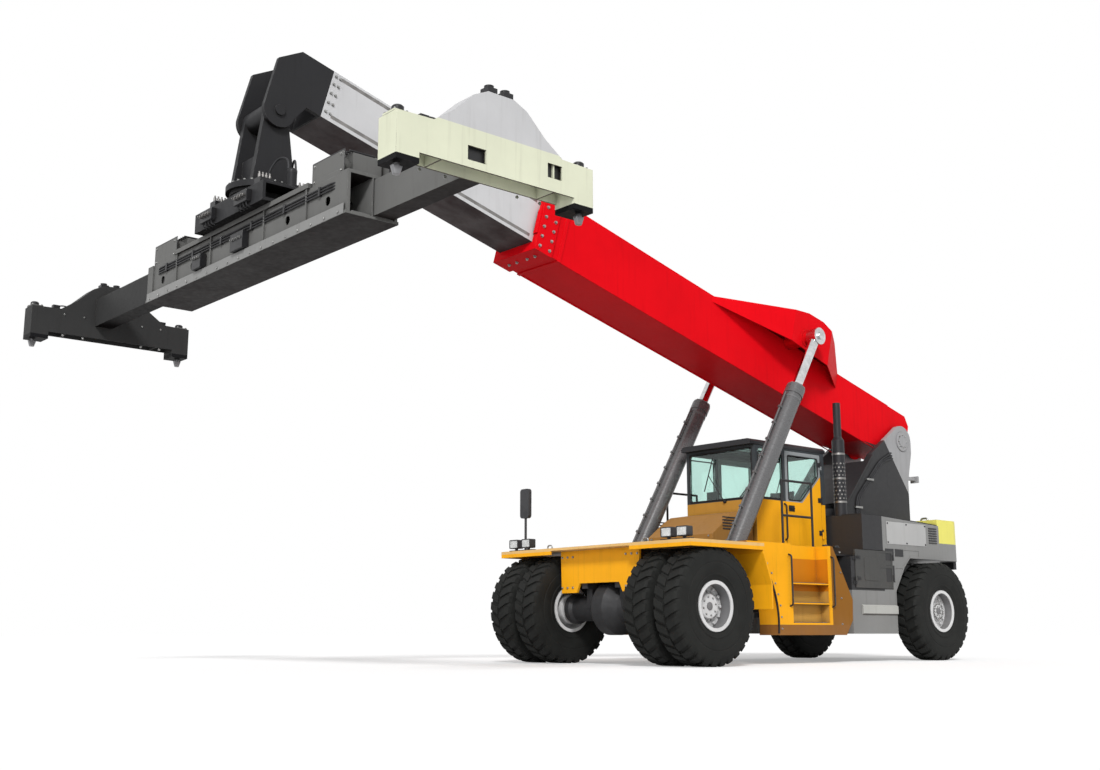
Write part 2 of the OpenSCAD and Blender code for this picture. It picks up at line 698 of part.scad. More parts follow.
module cab_roof() color(dark) {
    difference() {
        wall_x(cab_rear - 40, cab_front + 120)
            polygon([[-cab_y - 10, roof_z + seat_gap], [-cab_y - 10, cab_top - 40],
            [-cab_y + 40, cab_top], [cab_y - 40, cab_top], [cab_y + 10, cab_top - 40], [cab_y + 10,
            roof_z + seat_gap]]);
        block(cab_rear + cab_t, cab_front - cab_t, -cab_y + cab_t, cab_y - cab_t, roof_z, cab_top - 30);
        translate([0, 0, cab_top - 31]) linear_extrude(40) roof_window(0);
    }
    // Guard bars over the roof window
    for (y = [-280:140:280]) translate([0, y, cab_top - 13]) rod_x(10, cab_rear + 299, cab_front - 499);
}
pane_t = 8;
pane_y = cab_y - cab_t / 2 - pane_t / 2;
module cab_glass() color(tint) {
    for (x = [cab_rear + cab_t / 2, cab_front - cab_t / 2]) wall_x(x - pane_t / 2,
        x + pane_t / 2) end_window(seat_gap);
    pair() wall_y(pane_y, pane_y + pane_t) front_window(seat_gap);
    translate([0, 0, cab_top - 30 + seat_gap]) linear_extrude(5) roof_window(seat_gap);
}
module cab_door() {
    difference() {
        block(door_hinge_x + free, door_x - free, cab_y - cab_t, cab_y, cab_low + cab_t + 10 + free,
            roof_z - 30 - free);
        wall_y(cab_y - cab_t - 1, cab_y + 1) door_window(0);
        // Sunk field round the handle
        wall_y(cab_y - panel_in, cab_y + 1)
            rounded(door_x - 230, door_x - 70, sill_z - 190, sill_z - 90, 20);
    }
    for (z = cab_hinge_z) translate([door_hinge_x, cab_y + hinge_r, z]) hinge_barrel(1);
}
module door_glass() wall_y(pane_y, pane_y + pane_t) door_window(seat_gap);
floor_z = cab_low + cab_t + seat_gap;
module seat() color(dark) translate([cab_rear + 470, 0, floor_z]) {
    block(-180, 180, -180, 180, 0, 330);
    block(-250, 260, -260, 260, 329, 450);
    wall_y(-240, 240) polygon([[-260, 440], [-150, 440], [-230, 1050], [-330, 1040]]);
}
wheel_lean = 35;
module steering_console() color(dark) translate([cab_front - 300, 0, floor_z]) {
    wall_y(-120, 120) polygon([[-60, 0], [160, 0], [100, 500], [-120, 700], [-160, 680], [-60, 480]]);
    translate([-140, 0, 680]) rotate([0, -wheel_lean, 0]) {
        rotate_extrude() translate([195, 15]) circle(15);
        block(-190, 190, -20, 20, -20, 20);
    }
}
mirror_y = deck_y - 90;
module mirror_arm() color(dark) translate([120, -mirror_y, deck_top + seat_gap]) {
    rod_z(60, 0, 12);
    rod_z(20, 0, 620);
    wall_x(-30, 30) rounded(-110, 110, 560, 1040, 50);
}
lamp_x = deck_front - 120;
// Two square lamps on a foot, with sunk faces
module lamps() color(pale) pair() translate([lamp_x, 0, deck_top + seat_gap]) {
    block(-50, 30, 1400, 1980, 0, 20);
    for (y = [1540, 1840]) {
        block(-20, 10, y - 20, y + 20, 19, 50);
        difference() {
            wall_x(-60, 60) rounded(y - 105, y + 105, 45, 185, 20);
            wall_x(52, 61) rounded(y - 92, y + 92, 58, 172, 12);
        }
    }
}

// Boom, in its own frame: x along the boom from the pivot, z square to it

boom_y = boom_w / 2;
boom_top = boom_h - boom_drop;
inner_low = -boom_drop + 110;
inner_top = inner_low + inner_h;
collar_l = 330;
collar_out = 30;
module boom_outline(t) polygon([[-350 + t, -120 + t], [1000, -boom_drop + t], [boom_len + t,
    -boom_drop + t],
    [boom_len + t, boom_top - t], [-200 + t, boom_top - t], [-350 + t, boom_top - 150 - t]]);
saddle_y = lift_y - eye_w / 2 - eye_free;
flare_y = lift_y - lift_tube_d / 2 - 30;
boss_r = 120;
// The saddle over the upper pins: a flared plan and a humped outline
saddle_rear = lift_u - 1421;
saddle_front = lift_u + 1979;
module saddle_solid(t) intersection() {
    linear_extrude(2000) polygon([[saddle_front - 3 * t, -boom_y], [lift_u + 379, -flare_y + t],
        [lift_u - 621, -flare_y + t], [saddle_rear + 2 * t, -boom_y], [saddle_rear + 2 * t, boom_y],
        [lift_u - 621, flare_y - t], [lift_u + 379, flare_y - t], [saddle_front - 3 * t, boom_y]]);
    wall_y(-saddle_y, saddle_y) polygon([[saddle_rear, lift_w - 281 - t], [saddle_front, lift_w - 111 - t],
        [saddle_front, boom_top + 1 - t], [lift_u + 29, lift_w + 469 - t], [lift_u - 371, lift_w + 479 - t],
        [lift_u - 921, lift_w + 339 - t], [saddle_rear, boom_top + 1 - t]]);
}
module lift_bosses() pair() translate([lift_u, 0, lift_w]) rod_y(boss_r, boom_y, saddle_y);
module outer_boom() color("red") at_boom() difference() {
    union() {
        wall_y(-boom_y, boom_y) boom_outline(0);
        saddle_solid(0);
        // Nose collar and its second band
        block(boom_len - collar_l, boom_len, -boom_y - collar_out, boom_y + collar_out,
            -boom_drop - collar_out,
            boom_top + collar_out);
        block(boom_len - collar_l - 190, boom_len - collar_l - 130, -boom_y - 15, boom_y + 15,
            -boom_drop - 15,
            boom_top + 15);
        lift_bosses();
        // Round ends of the lift bosses and cheeks round the pivot
        pair() translate([lift_u, 0, lift_w]) rod_y(boss_r + 40, flare_y - 60, flare_y + 12);
        pair() rod_y(230, boom_y - 1, boom_y + 25);
    }
    difference() {
        wall_y(-boom_y + boom_t, boom_y - boom_t) boom_outline(boom_t);
        block(boom_len - collar_l + 30, boom_len + 50, -boom_y, boom_y, -boom_drop, boom_top);
        rod_y(190, -boom_y, boom_y);
    }
    difference() {
        saddle_solid(20);
        wall_y(-boom_y, boom_y) boom_outline(0);
        lift_bosses();
    }
    block(boom_len - collar_l - 70, boom_len + 1, -inner_w / 2 - seat_gap, inner_w / 2 + seat_gap,
        inner_low - seat_gap, inner_top + seat_gap);
    rod_y(110 + run, -boom_y - 30, boom_y + 30);
}
inner_t = 14;
module inner_boom() color(pale) at_boom() {
    tail_y = boom_y - boom_t - seat_gap;
    difference() {
        union() {
            block(inner_tail, head_u - 550, -inner_w / 2, inner_w / 2, inner_low, inner_top);
            block(inner_tail, inner_tail + 250, -tail_y, tail_y, -boom_drop + boom_t + seat_gap,
                boom_top - boom_t - seat_gap);
        }
        block(inner_tail - 1, head_u, -inner_w / 2 + inner_t, inner_w / 2 - inner_t, inner_low + inner_t,
            inner_top - inner_t);
    }
}
head_y = inner_w / 2;
cheek_t = 60;
head_pin_r = 70;
module boom_head() color(dark) at_boom() {
    x0 = head_u - 550 + seat_gap;
    pair() wall_y(head_y - cheek_t, head_y) {
        polygon([[x0, inner_low], [x0, inner_top], [head_u - 60, inner_top], [head_u + 220,
            inner_top - 260],
            [head_u + 220, -head_w], [head_u - 220, -head_w], [head_u - 330, inner_low]]);
        translate([head_u, -head_w]) circle(220);
    }
    block(x0, head_u - 100, -head_y + cheek_t - 1, head_y - cheek_t + 1, inner_top - 30, inner_top);
    block(x0, x0 + 30, -head_y + cheek_t - 1, head_y - cheek_t + 1, inner_low, inner_top);
    translate([head_u, 0, -head_w]) rod_y(head_pin_r, -head_y - 30, head_y + 30);
}

// Spreader, in its own frame: its origin lies at the head pin and Z points up

head_x = pivot_x + head_u * cos(boom_angle) + head_w * sin(boom_angle);
head_z = pivot_z + head_u * sin(boom_angle) - head_w * cos(boom_angle);
module at_head() translate([head_x, 0, head_z]) children();
yoke_y = head_y - cheek_t - 10;
yoke_r = 160;
ring_top = -1050;
ring_h = 120;
ring_r = 400;
module hang_yoke() color(dark) at_head() difference() {
    union() {
        rod_y(yoke_r, -yoke_y, yoke_y);
        pair() wall_y(yoke_y - 80, yoke_y)
            polygon([[-yoke_r, 0], [yoke_r, 0], [300, ring_top + 60], [-300, ring_top + 60]]);
        // Gussets between the side plates, and the round plate over the slewing ring
        for (s = [-1, 1]) block(s * 150 - 20, s * 150 + 20, -yoke_y + 79, yoke_y - 79, ring_top + 60,
            ring_top + 480);
        translate([0, 0, ring_top]) rod_z(ring_r + 50, 0, 80);
    }
    rod_y(head_pin_r + run, -yoke_y - 1, yoke_y + 1);
}
beam_top = -1480;
rail_x = 300;
rail_up = 60;
carriage_y = 900;
carriage_x = 460;
carriage_z = beam_top + rail_up + seat_gap;
ring_low = ring_top - ring_h - seat_gap;
motor_y = 760;
module rotator() color(dark) at_head() {
    // Slewing ring with a toothed middle, on the carriage
    rod_at = ring_low + ring_h;
    translate([0, 0, ring_low]) rod_z(ring_r, 0, 45);
    translate([0, 0, ring_low + 44]) linear_extrude(ring_h - 88) {
        circle(ring_r - 30);
        for (k = [0:6:354]) rotate(k) translate([ring_r - 40, -9]) square([30, 18]);
    }
    translate([0, 0, rod_at - 45]) rod_z(ring_r, 0, 45);
    difference() {
        block(-carriage_x, carriage_x, -carriage_y, carriage_y, carriage_z, ring_low + 1);
        // Open ends between the carriage's plates
        pair() block(-carriage_x + 40, carriage_x - 40, carriage_y - 300, carriage_y + 1, carriage_z + 40,
            ring_low - 30);
    }
    // Slewing motors
    pair() translate([0, motor_y, ring_low]) {
        rod_z(85, 0, 60);
        rod_z(62, 0, 230);
    }
}
tele_x = 150;
tele_z = -1530;
tele_t = 12;
main_t = 14;
case_gap = 12;
main_low = tele_z - tele_h - case_gap - main_t;
main_x = tele_x + tele_w / 2 + case_gap + main_t;
rail_half = 1750;
pad_l = 200;
module tele_tunnel(s) block(s * tele_x - tele_w / 2 - case_gap, s * tele_x + tele_w / 2 + case_gap,
    -main_half - 1,
    main_half + 1, tele_z - tele_h - case_gap, tele_z + case_gap);
module main_beam() color(dark) at_head() {
    difference() {
        union() {
            block(-main_x, main_x, -main_half, main_half, main_low, beam_top);
            // Bottom flange, end collars and upright ribs
            block(-main_x - 40, main_x + 40, -main_half, main_half, main_low - 16, main_low + 20);
            pair() block(-main_x - 24, main_x + 24, main_half - 160, main_half, main_low - 1, beam_top);
            pair() for (y = [700, 1700]) block(-main_x - 24, main_x + 24, y - 12, y + 12, main_low - 1,
                beam_top);
        }
        for (s = [-1, 1]) tele_tunnel(s);
        // Round holes in the side plates
        pair() for (y = [1250, 2150]) translate([0, y, tele_z - tele_h / 2])
            rod_x(55, -main_x - 50, main_x + 50);
    }
    // Rails under the carriage
    for (s = [-1, 1]) block(s * rail_x - 40, s * rail_x + 40, -rail_half, rail_half, beam_top - 1,
        beam_top + rail_up);
    // Wear pads that carry the telescopic beams
    for (s = [-1, 1]) for (y = [-main_half, main_half - pad_l])
        block(s * tele_x - tele_w / 2 + 10, s * tele_x + tele_w / 2 - 10, y, y + pad_l,
        tele_z - tele_h - case_gap - 1,
            tele_z - tele_h - seat_gap);
}
pack_y = [1800, 2400];
pack_h = 320;
module power_pack() color(dark) at_head() pair() {
    low = beam_top + seat_gap;
    block(-300, 300, pack_y[0], pack_y[1], low, low + 60);
    wall_x(-260, 120) rounded(pack_y[0] + 40, pack_y[1] - 40, low + 40, low + pack_h, 30);
    translate([200, 0, low + 150]) rod_y(90, pack_y[0] + 60, pack_y[1] - 100);
    block(160, 240, pack_y[0] + 100, pack_y[1] - 160, low + 59, low + 100);
}
lock_y = reach - lock_in;
block_z = -hang;
foot_w = 260;
foot_h = 110;
plate_in = 20;
// Half outline of an end beam: distance from its middle and height
gable = [[end_half, 0], [end_half, 470], [800, 480], [570, 640], [330, gable_h - 80], [160, gable_h]];
// Windows in the end beam's outer plate: middle, half width, lower and upper height
windows = [[290, 110, 185, 330], [-700, 95, 250, 400]];
// The left beam lies behind, the right beam in front
module spread_beam(s) at_head() {
    x = -s * tele_x;
    in_y = reach - end_w;
    n = len(gable);
    difference() {
        union() {
            difference() {
                block(x - tele_w / 2, x + tele_w / 2, 570, in_y + 10, tele_z - tele_h, tele_z);
                block(x - tele_w / 2 + tele_t, x + tele_w / 2 - tele_t, 569, in_y + 9,
                    tele_z - tele_h + tele_t,
                    tele_z - tele_t);
            }
            difference() {
                wall_y(in_y, reach) translate([0, block_z]) polygon(concat(gable,
                    [for (i = [n - 1:-1:0]) [-gable[i][0], gable[i][1]]],
                    [[-end_half + foot_w, 0], [-end_half + foot_w, foot_h], [end_half - foot_w, foot_h],
                    [end_half - foot_w, 0]]));
                block(-end_half + foot_w, end_half - foot_w, in_y + plate_in, reach - plate_in,
                    block_z + foot_h - 1,
                    block_z + 440);
            }
            // Ribs at the gable's foot, and the guide lips at the outer corners
            for (e = [-1, 1]) block(e * 700 - 10, e * 700 + 10, in_y + plate_in - 1, reach - plate_in + 1,
                block_z + foot_h, block_z + 441);
        }
        for (w = windows) block(w[0] - w[1], w[0] + w[1], reach - plate_in - 1, reach + 1, block_z + w[2],
            block_z + w[3]);
        for (e = [-1, 1]) translate([e * lock_x / 2, lock_y, block_z]) rod_z(lock_d / 2 + run, -1, 260);
    }
}
lock_head = 85;
module twistlock(sx, sy) at_head() translate([sx * lock_x / 2, sy * lock_y, block_z]) {
    rod_z(lock_d / 2, -30, 250);
    intersection() {
        translate([0, 0, -110]) cylinder(r1 = 34, r2 = 60, h = lock_head);
        block(-52, 52, -28, 28, -111, -20);
    }
}

// Lift cylinders, each along its own axis from the lower pin

lift_top_x = pivot_x + lift_u * cos(boom_angle) - lift_w * sin(boom_angle);
lift_top_z = pivot_z + lift_u * sin(boom_angle) + lift_w * cos(boom_angle);
lift_l = norm([lift_top_x - lift_x, lift_top_z - lift_z]);
lift_lean = atan2(lift_top_x - lift_x, lift_top_z - lift_z);
bore_r = lift_tube_d / 2 - 28;
tube_start = 240;
tube_floor = 265;
gland_l = 140;
piston_s = 1120;
piston_t = 90;
// Oil pipe in front of a tube and its clamps
pipe_r = 17;
pipe_x = lift_tube_d / 2 + 30;
clamp_pitch = 330;
module at_lift(y) translate([lift_x, y, lift_z]) rotate([0, lift_lean, 0]) children();
module lift_tubes() color(dark) for (s = [-1, 1]) side(s) at_lift(lift_y) {
    difference() {
        union() {
            rod_z(lift_tube_d / 2, tube_start, lift_tube_l);
            rod_z(lift_tube_d / 2 + 12, lift_tube_l - gland_l - 20, lift_tube_l);
            rod_y(155, -eye_w / 2, eye_w / 2);
            block(-120, 120, -eye_w / 2, eye_w / 2, 0, tube_start + 1);
        }
        rod_z(bore_r, tube_floor, lift_tube_l - gland_l);
        rod_z(lift_rod_d / 2 + run, tube_floor + 1, lift_tube_l + 1);
        rod_y(pin_r + run, -eye_w, eye_w);
    }
    translate([pipe_x, 0, 0]) rod_z(pipe_r, tube_start + 120, lift_tube_l - gland_l - 60);
    for (z = [tube_start + 160:clamp_pitch:lift_tube_l - gland_l - 80])
        block(lift_tube_d / 2 - 14, pipe_x + pipe_r + 6, -28, 28, z, z + 40);
}
module lift_rods() color(pale) for (s = [-1, 1]) side(s) at_lift(lift_y) {
    rod_z(bore_r - run, piston_s, piston_s + piston_t);
    rod_z(lift_rod_d / 2, piston_s, lift_l - 100);
    translate([0, 0, lift_l]) {
        rod_y(145, -eye_w / 2, eye_w / 2);
        rod_y(pin_r, -eye_w / 2 - 6, eye_w / 2 + 30);
    }
}

chassis_frame();
front_deck();
front_cover();
drive_axle();
steer_axle();
counterweight();
tow_block();
engine_block();
engine_hood();
compartments();
side_bodies();
walkways();
boom_tower();
cab_body();
cab_roof();
cab_glass();
seat();
steering_console();
exhaust();
mirror_arm();
lamps();
outer_boom();
lift_tubes();
lift_rods();
inner_boom();
boom_head();
hang_yoke();
rotator();
main_beam();
power_pack();
color(pale) spread_beam(1);  // beam_left
color(pale) side(-1) spread_beam(-1);  // beam_right
color(steel) twistlock(1, 1);  // lock_left_front
color(steel) twistlock(-1, 1);  // lock_left_rear
color(steel) twistlock(1, -1);  // lock_right_front
color(steel) twistlock(-1, -1);  // lock_right_rear
color(dark) translate([0, 0, axle_z]) front_tyres();  // front_tyres_left
color(dark) side(-1) translate([0, 0,  // front_tyres_right
    axle_z]) front_tyres();
color("white") translate([0, 0, axle_z]) front_rims();  // front_rims_left
color("white") side(-1) translate([0, 0,  // front_rims_right
    axle_z]) front_rims();
color(steel) knuckle();  // knuckle_left
color(steel) side(-1) knuckle();  // knuckle_right
color(dark) translate([rear_axle, rear_y, axle_z]) tyre();  // rear_tyre_left
color(dark) translate([rear_axle, -rear_y, axle_z]) tyre();  // rear_tyre_right
color("white") translate([rear_axle, 0, axle_z]) rear_rim();  // rear_rim_left
color("white") side(-1) translate([rear_axle, 0,  // rear_rim_right
    axle_z]) rear_rim();
color(yellow) cab_door();  // cab_door_left
color(yellow) side(-1) cab_door();  // cab_door_right
color(tint) door_glass();  // door_glass_left
color(tint) side(-1) door_glass();  // door_glass_right
color(dark) side_door();  // side_door_left
color(dark) side(-1) side_door();  // side_door_right
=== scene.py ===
"""Looks of the reach stacker: paint, rubber, glass, rails, hoses, lamps and the studio round it."""

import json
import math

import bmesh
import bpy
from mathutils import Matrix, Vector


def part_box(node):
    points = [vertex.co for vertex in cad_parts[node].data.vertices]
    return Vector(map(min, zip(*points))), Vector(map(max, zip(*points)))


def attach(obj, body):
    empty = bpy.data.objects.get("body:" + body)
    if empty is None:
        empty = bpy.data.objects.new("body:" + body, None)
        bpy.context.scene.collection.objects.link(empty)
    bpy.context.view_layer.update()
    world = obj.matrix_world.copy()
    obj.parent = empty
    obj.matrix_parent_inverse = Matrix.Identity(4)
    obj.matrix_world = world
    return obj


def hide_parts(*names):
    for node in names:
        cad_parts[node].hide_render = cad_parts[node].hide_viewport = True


bl_info = {
    "name": "Reach stacker looks",
    "version": (1, 0, 0),
    "blender": (4, 5, 0),
    "location": "3D View > Sidebar > Reach stacker",
    "description": "Finishes the packed reach stacker and sets it in a plain studio",
    "category": "Object",
}

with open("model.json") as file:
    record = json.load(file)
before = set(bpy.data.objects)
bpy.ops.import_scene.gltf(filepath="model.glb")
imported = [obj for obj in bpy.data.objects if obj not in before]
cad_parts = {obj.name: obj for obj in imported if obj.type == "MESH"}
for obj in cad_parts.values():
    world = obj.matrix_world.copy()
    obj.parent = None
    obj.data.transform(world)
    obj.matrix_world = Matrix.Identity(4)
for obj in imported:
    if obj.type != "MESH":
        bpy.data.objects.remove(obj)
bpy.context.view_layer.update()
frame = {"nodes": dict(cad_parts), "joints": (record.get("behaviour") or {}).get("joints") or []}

SIDES = (1, -1)
SIDE_WORDS = ((1, "left"), (-1, "right"))
UP, DOWN = (0, 0, 1), (0, 0, -1)
LEFT, RIGHT = (0, 1, 0), (0, -1, 0)
FORWARD, BACK = (1, 0, 0), (-1, 0, 0)


def middle(name):
    """Centre of a node of the frame."""
    low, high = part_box(name)
    return (low + high) / 2


def joint_place(name):
    """Where a joint of the frame has its axis."""
    for joint in frame["joints"]:
        if joint["name"] == name:
            return Vector(joint["pos_m"])
    raise RuntimeError(f"the frame has no joint {name}")


# The machine's main axes, in metres

BOOM_TILT = math.radians(15)
BOOM_PIVOT = joint_place("boom_lift")
HEAD_PIN = joint_place("yoke_hang")
BOOM_FRAME = Matrix.Translation(BOOM_PIVOT) @ Matrix.Rotation(-BOOM_TILT, 4, "Y")
HEAD_FRAME = Matrix.Translation(HEAD_PIN)
TYRE_LOW, TYRE_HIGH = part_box("rear_tyre_left")
TYRE_R = (TYRE_HIGH.z - TYRE_LOW.z) / 2
AXLE_Z = TYRE_R
FRONT_Y = (1.2, 1.8)
REAR_X = middle("rear_tyre_left").x
REAR_Y = middle("rear_tyre_left").y

# Settings

COLOUR = {"subtype": "COLOR", "size": 3, "min": 0, "max": 1}
LENGTH = {"unit": "LENGTH", "subtype": "DISTANCE"}


class StackerColours(bpy.types.PropertyGroup):
    """Colours of the machine's paints and other finishes."""

    boom: bpy.props.FloatVectorProperty(
        name="Boom paint", description="Paint of the outer boom",
        default=(0.80, 0.004, 0.010), **COLOUR)
    body: bpy.props.FloatVectorProperty(
        name="Body paint", description="Paint of the deck, the cab and the side bodies",
        default=(1.0, 0.45, 0.012), **COLOUR)
    corner: bpy.props.FloatVectorProperty(
        name="Corner paint", description="Bright paint of the counterweight's upper part",
        default=(0.86, 0.80, 0.17), **COLOUR)
    chassis: bpy.props.FloatVectorProperty(
        name="Frame paint", description="Paint of the chassis frame and the walkways",
        default=(0.022, 0.022, 0.024), **COLOUR)
    panel: bpy.props.FloatVectorProperty(
        name="Panel paint", description="Paint of the rear compartments and the counterweight",
        default=(0.25, 0.25, 0.245), **COLOUR)
    spreader: bpy.props.FloatVectorProperty(
        name="Spreader paint", description="Paint of the spreader's main beam",
        default=(0.165, 0.165, 0.160), **COLOUR)
    pale: bpy.props.FloatVectorProperty(
        name="Pale paint", description="Paint of the inner boom and of the left end beam's gable",
        default=(0.62, 0.62, 0.63), **COLOUR)
    rim: bpy.props.FloatVectorProperty(
        name="Rim paint", description="Paint of the wheel rims",
        default=(0.74, 0.74, 0.74), **COLOUR)
    rubber: bpy.props.FloatVectorProperty(
        name="Rubber", description="Colour of the tyres",
        default=(0.0070, 0.0074, 0.0066), **COLOUR)
    glass: bpy.props.FloatVectorProperty(
        name="Glass tint", description="Tint of the cab's panes",
        default=(0.72, 0.90, 0.85), **COLOUR)


class StackerSizes(bpy.types.PropertyGroup):
    """Sizes of the pieces that are modelled here."""

    lugs: bpy.props.IntProperty(
        name="Tread lugs", description="Lugs round one shoulder of a tyre", min=12, max=60, default=30)
    hose: bpy.props.FloatProperty(
        name="Hose diameter", description="Diameter of a large hydraulic hose",
        min=0.01, max=0.06, default=0.034, **LENGTH)
    bolt: bpy.props.FloatProperty(
        name="Bolt size", description="Width of a large bolt's head across its flats",
        min=0.01, max=0.08, default=0.036, **LENGTH)
    rail: bpy.props.FloatProperty(
        name="Rail diameter", description="Diameter of the grab rails beside the steps",
        min=0.02, max=0.06, default=0.02736, **LENGTH)
    rounding: bpy.props.FloatProperty(
        name="Edge rounding", description="Radius to which sharp edges look rounded",
        min=0.0, max=0.03, default=0.007, **LENGTH)


def colours():
    """The colour settings of the scene."""
    return bpy.context.scene.stacker_colours


def sizes():
    """The size settings of the scene."""
    return bpy.context.scene.stacker_sizes


# Shapes

WASHER_SHARE, HEAD_CORNER, HEAD_RISE = 0.72, 0.577, 0.55
WASHER_RISE = 0.12
STUD_PITCH = 0.10
STUD_LONG, STUD_NARROW = 0.030, 0.008


def new_object(name, data):
    """An object that shows some data, in the scene."""
    made = bpy.data.objects.new(name, data)
    bpy.context.scene.collection.objects.link(made)
    return made


def ring_points(centre, across, other, radius, count, turn=0.0):
    """Points evenly spaced on a circle in the plane of two directions."""
    points = []
    for k in range(count):
        angle = turn + 2 * math.pi * k / count
        points.append(centre + (across * math.cos(angle) + other * math.sin(angle)) * radius)
    return points


def circle_places(centre, axis, radius, count, turn=0.0):
    """Points evenly spaced on a circle about an axis."""
    axis = Vector(axis).normalized()
    across = axis.orthogonal().normalized()
    return ring_points(Vector(centre), across, axis.cross(across), radius, count, turn)


def rounded_path(points, bend, steps=6):
    """The points with each corner replaced by an arc-like curve that starts a bend before it."""
    if len(points) < 3 or bend <= 0:
        return points
    path = [points[0]]
    for last, corner, ahead in zip(points, points[1:], points[2:]):
        before = corner - last
        after = ahead - corner
        reach = min(bend, before.length * 0.49, after.length * 0.49)
        start = corner - before.normalized() * reach
        end = corner + after.normalized() * reach
        for k in range(steps + 1):
            t = k / steps
            path.append(start * (1 - t) ** 2 + corner * 2 * t * (1 - t) + end * t ** 2)
    path.append(points[-1])
    return path


class Metalwork:
    """Collects plates, bars, bolts and turned parts in one mesh, in a frame of their own."""

    def __init__(self, place=None):
        self.mesh = bmesh.new()
        self.place = place or Matrix.Identity(4)

    def plate(self, one, other):
        """A rectangular block between two opposite corners."""
        xs, ys, zs = (sorted(pair) for pair in zip(one, other))
        points = [Vector((x, y, z)) for z in zs for y in ys for x in xs]
        made = [self.mesh.verts.new(self.place @ point) for point in points]
        for face in ((0, 2, 3, 1), (4, 5, 7, 6), (0, 1, 5, 4), (2, 6, 7, 3), (0, 4, 6, 2), (1, 3, 7, 5)):
            self.mesh.faces.new([made[i] for i in face])

    def slats(self, one, other, step, count):
        """A row of equal blocks, each a step on from the last."""
        for k in range(count):
            self.plate([a + k * s for a, s in zip(one, step)], [b + k * s for b, s in zip(other, step)])

    def loft(self, rings, closed=False):
        """Joins rings of points one after another, and closes the two ends."""
        made = [[self.mesh.verts.new(self.place @ Vector(p)) for p in ring] for ring in rings]
        count = len(rings[0])
        pairs = list(zip(made, made[1:]))
        if closed:
            pairs.append((made[-1], made[0]))
        for one, two in pairs:
            for k in range(count):
                self.mesh.faces.new((one[k], one[(k + 1) % count], two[(k + 1) % count], two[k]))
        if not closed:
            self.mesh.faces.new(list(reversed(made[0])))
            self.mesh.faces.new(made[-1])

    def turned(self, profile, centre, axis, sides=32, closed=False):
        """A body turned about an axis from points of (distance along the axis, radius)."""
        centre, axis = Vector(centre), Vector(axis).normalized()
        across = axis.orthogonal().normalized()
        other = axis.cross(across)
        self.loft([ring_points(centre + axis * along, across, other, radius, sides)
                   for along, radius in profile], closed)

    def bar(self, start, end, radius, sides=16):
        """A round bar between two points."""
        start, end = Vector(start), Vector(end)
        self.turned([(0, radius), ((end - start).length, radius)], start, end - start, sides)

    def bolt(self, centre, axis, across=None):
        """A hexagonal head on a washer, standing on a surface."""
        across = across or sizes().bolt
        washer, low = across * WASHER_SHARE, across * WASHER_RISE
        corner, rise = across * HEAD_CORNER, across * HEAD_RISE
        self.turned([(0, washer), (low, washer)], centre, axis, 16)
        head = [(low, corner), (low + rise * 0.85, corner), (low + rise, corner * 0.86)]
        self.turned(head, centre, axis, 6)

    def bolts(self, places, axis, across=None):
        """One bolt at each place."""
        for place in places:
            self.bolt(place, axis, across)

    def tube(self, points, radius, sides=12, bend=None):
        """A tube along points, with its corners rounded to a bend."""
        path = rounded_path([Vector(p) for p in points], bend if bend is not None else radius * 4)
        rings = []
        before = None
        for i, point in enumerate(path):
            ahead = (path[min(i + 1, len(path) - 1)] - path[max(i - 1, 0)]).normalized()
            if before is None:
                across = ahead.orthogonal().normalized()
            else:
                across = (before - ahead * before.dot(ahead)).normalized()
            before = across
            rings.append(ring_points(point, across, ahead.cross(across), radius, sides))
        self.loft(rings)

    def loop(self, corners, radius, bend=0.05):
        """A closed tube round some corners, begun halfway along its first side."""
        corners = [Vector(c) for c in corners]
        start = (corners[0] + corners[1]) / 2
        self.tube([start, *corners[1:], corners[0], start], radius, 8, bend)

    def border(self, low, high, radius, bend=0.05):
        """A closed tube round a rectangle between two corners that share one of their coordinates."""
        first, second = [i for i in range(3) if low[i] != high[i]]
        one, other = list(low), list(low)
        one[first] = high[first]
        other[second] = high[second]
        self.loop([low, one, high, other], radius, bend)

    def handle(self, start, end, out, inset, radius, sides, bend):
        """A bent bar that stands out between two feet, and is shorter there by an inset at each end."""
        start, end, out = Vector(start), Vector(end), Vector(out)
        shift = (end - start).normalized() * inset
        self.tube([start, start + out + shift, end + out - shift, end], radius, sides, bend)

    def finish(self, name, body, finish, slot, sharp=35, bevel=0.0):
        """Makes the collected mesh one piece that rides on a body of the frame."""
        bmesh.ops.recalc_face_normals(self.mesh, faces=self.mesh.faces)
        limit = math.radians(sharp)
        for face in self.mesh.faces:
            face.smooth = True
        for edge in self.mesh.edges:
            if len(edge.link_faces) == 2 and edge.calc_face_angle() > limit:
                edge.smooth = False
        data = bpy.data.meshes.new(name)
        self.mesh.to_mesh(data)
        self.mesh.free()
        piece = new_object(name, data)
        data.materials.append(finish_of(finish))
        if bevel:
            rounding = piece.modifiers.new("Rounded edges", "BEVEL")
            rounding.width = bevel
            rounding.segments = 2
            rounding.limit_method = "ANGLE"
            rounding.angle_limit = limit
        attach(piece, body)
        return piece


def collectors(count, place=None):
    """Some empty collectors in one frame."""
    return [Metalwork(place) for _ in range(count)]


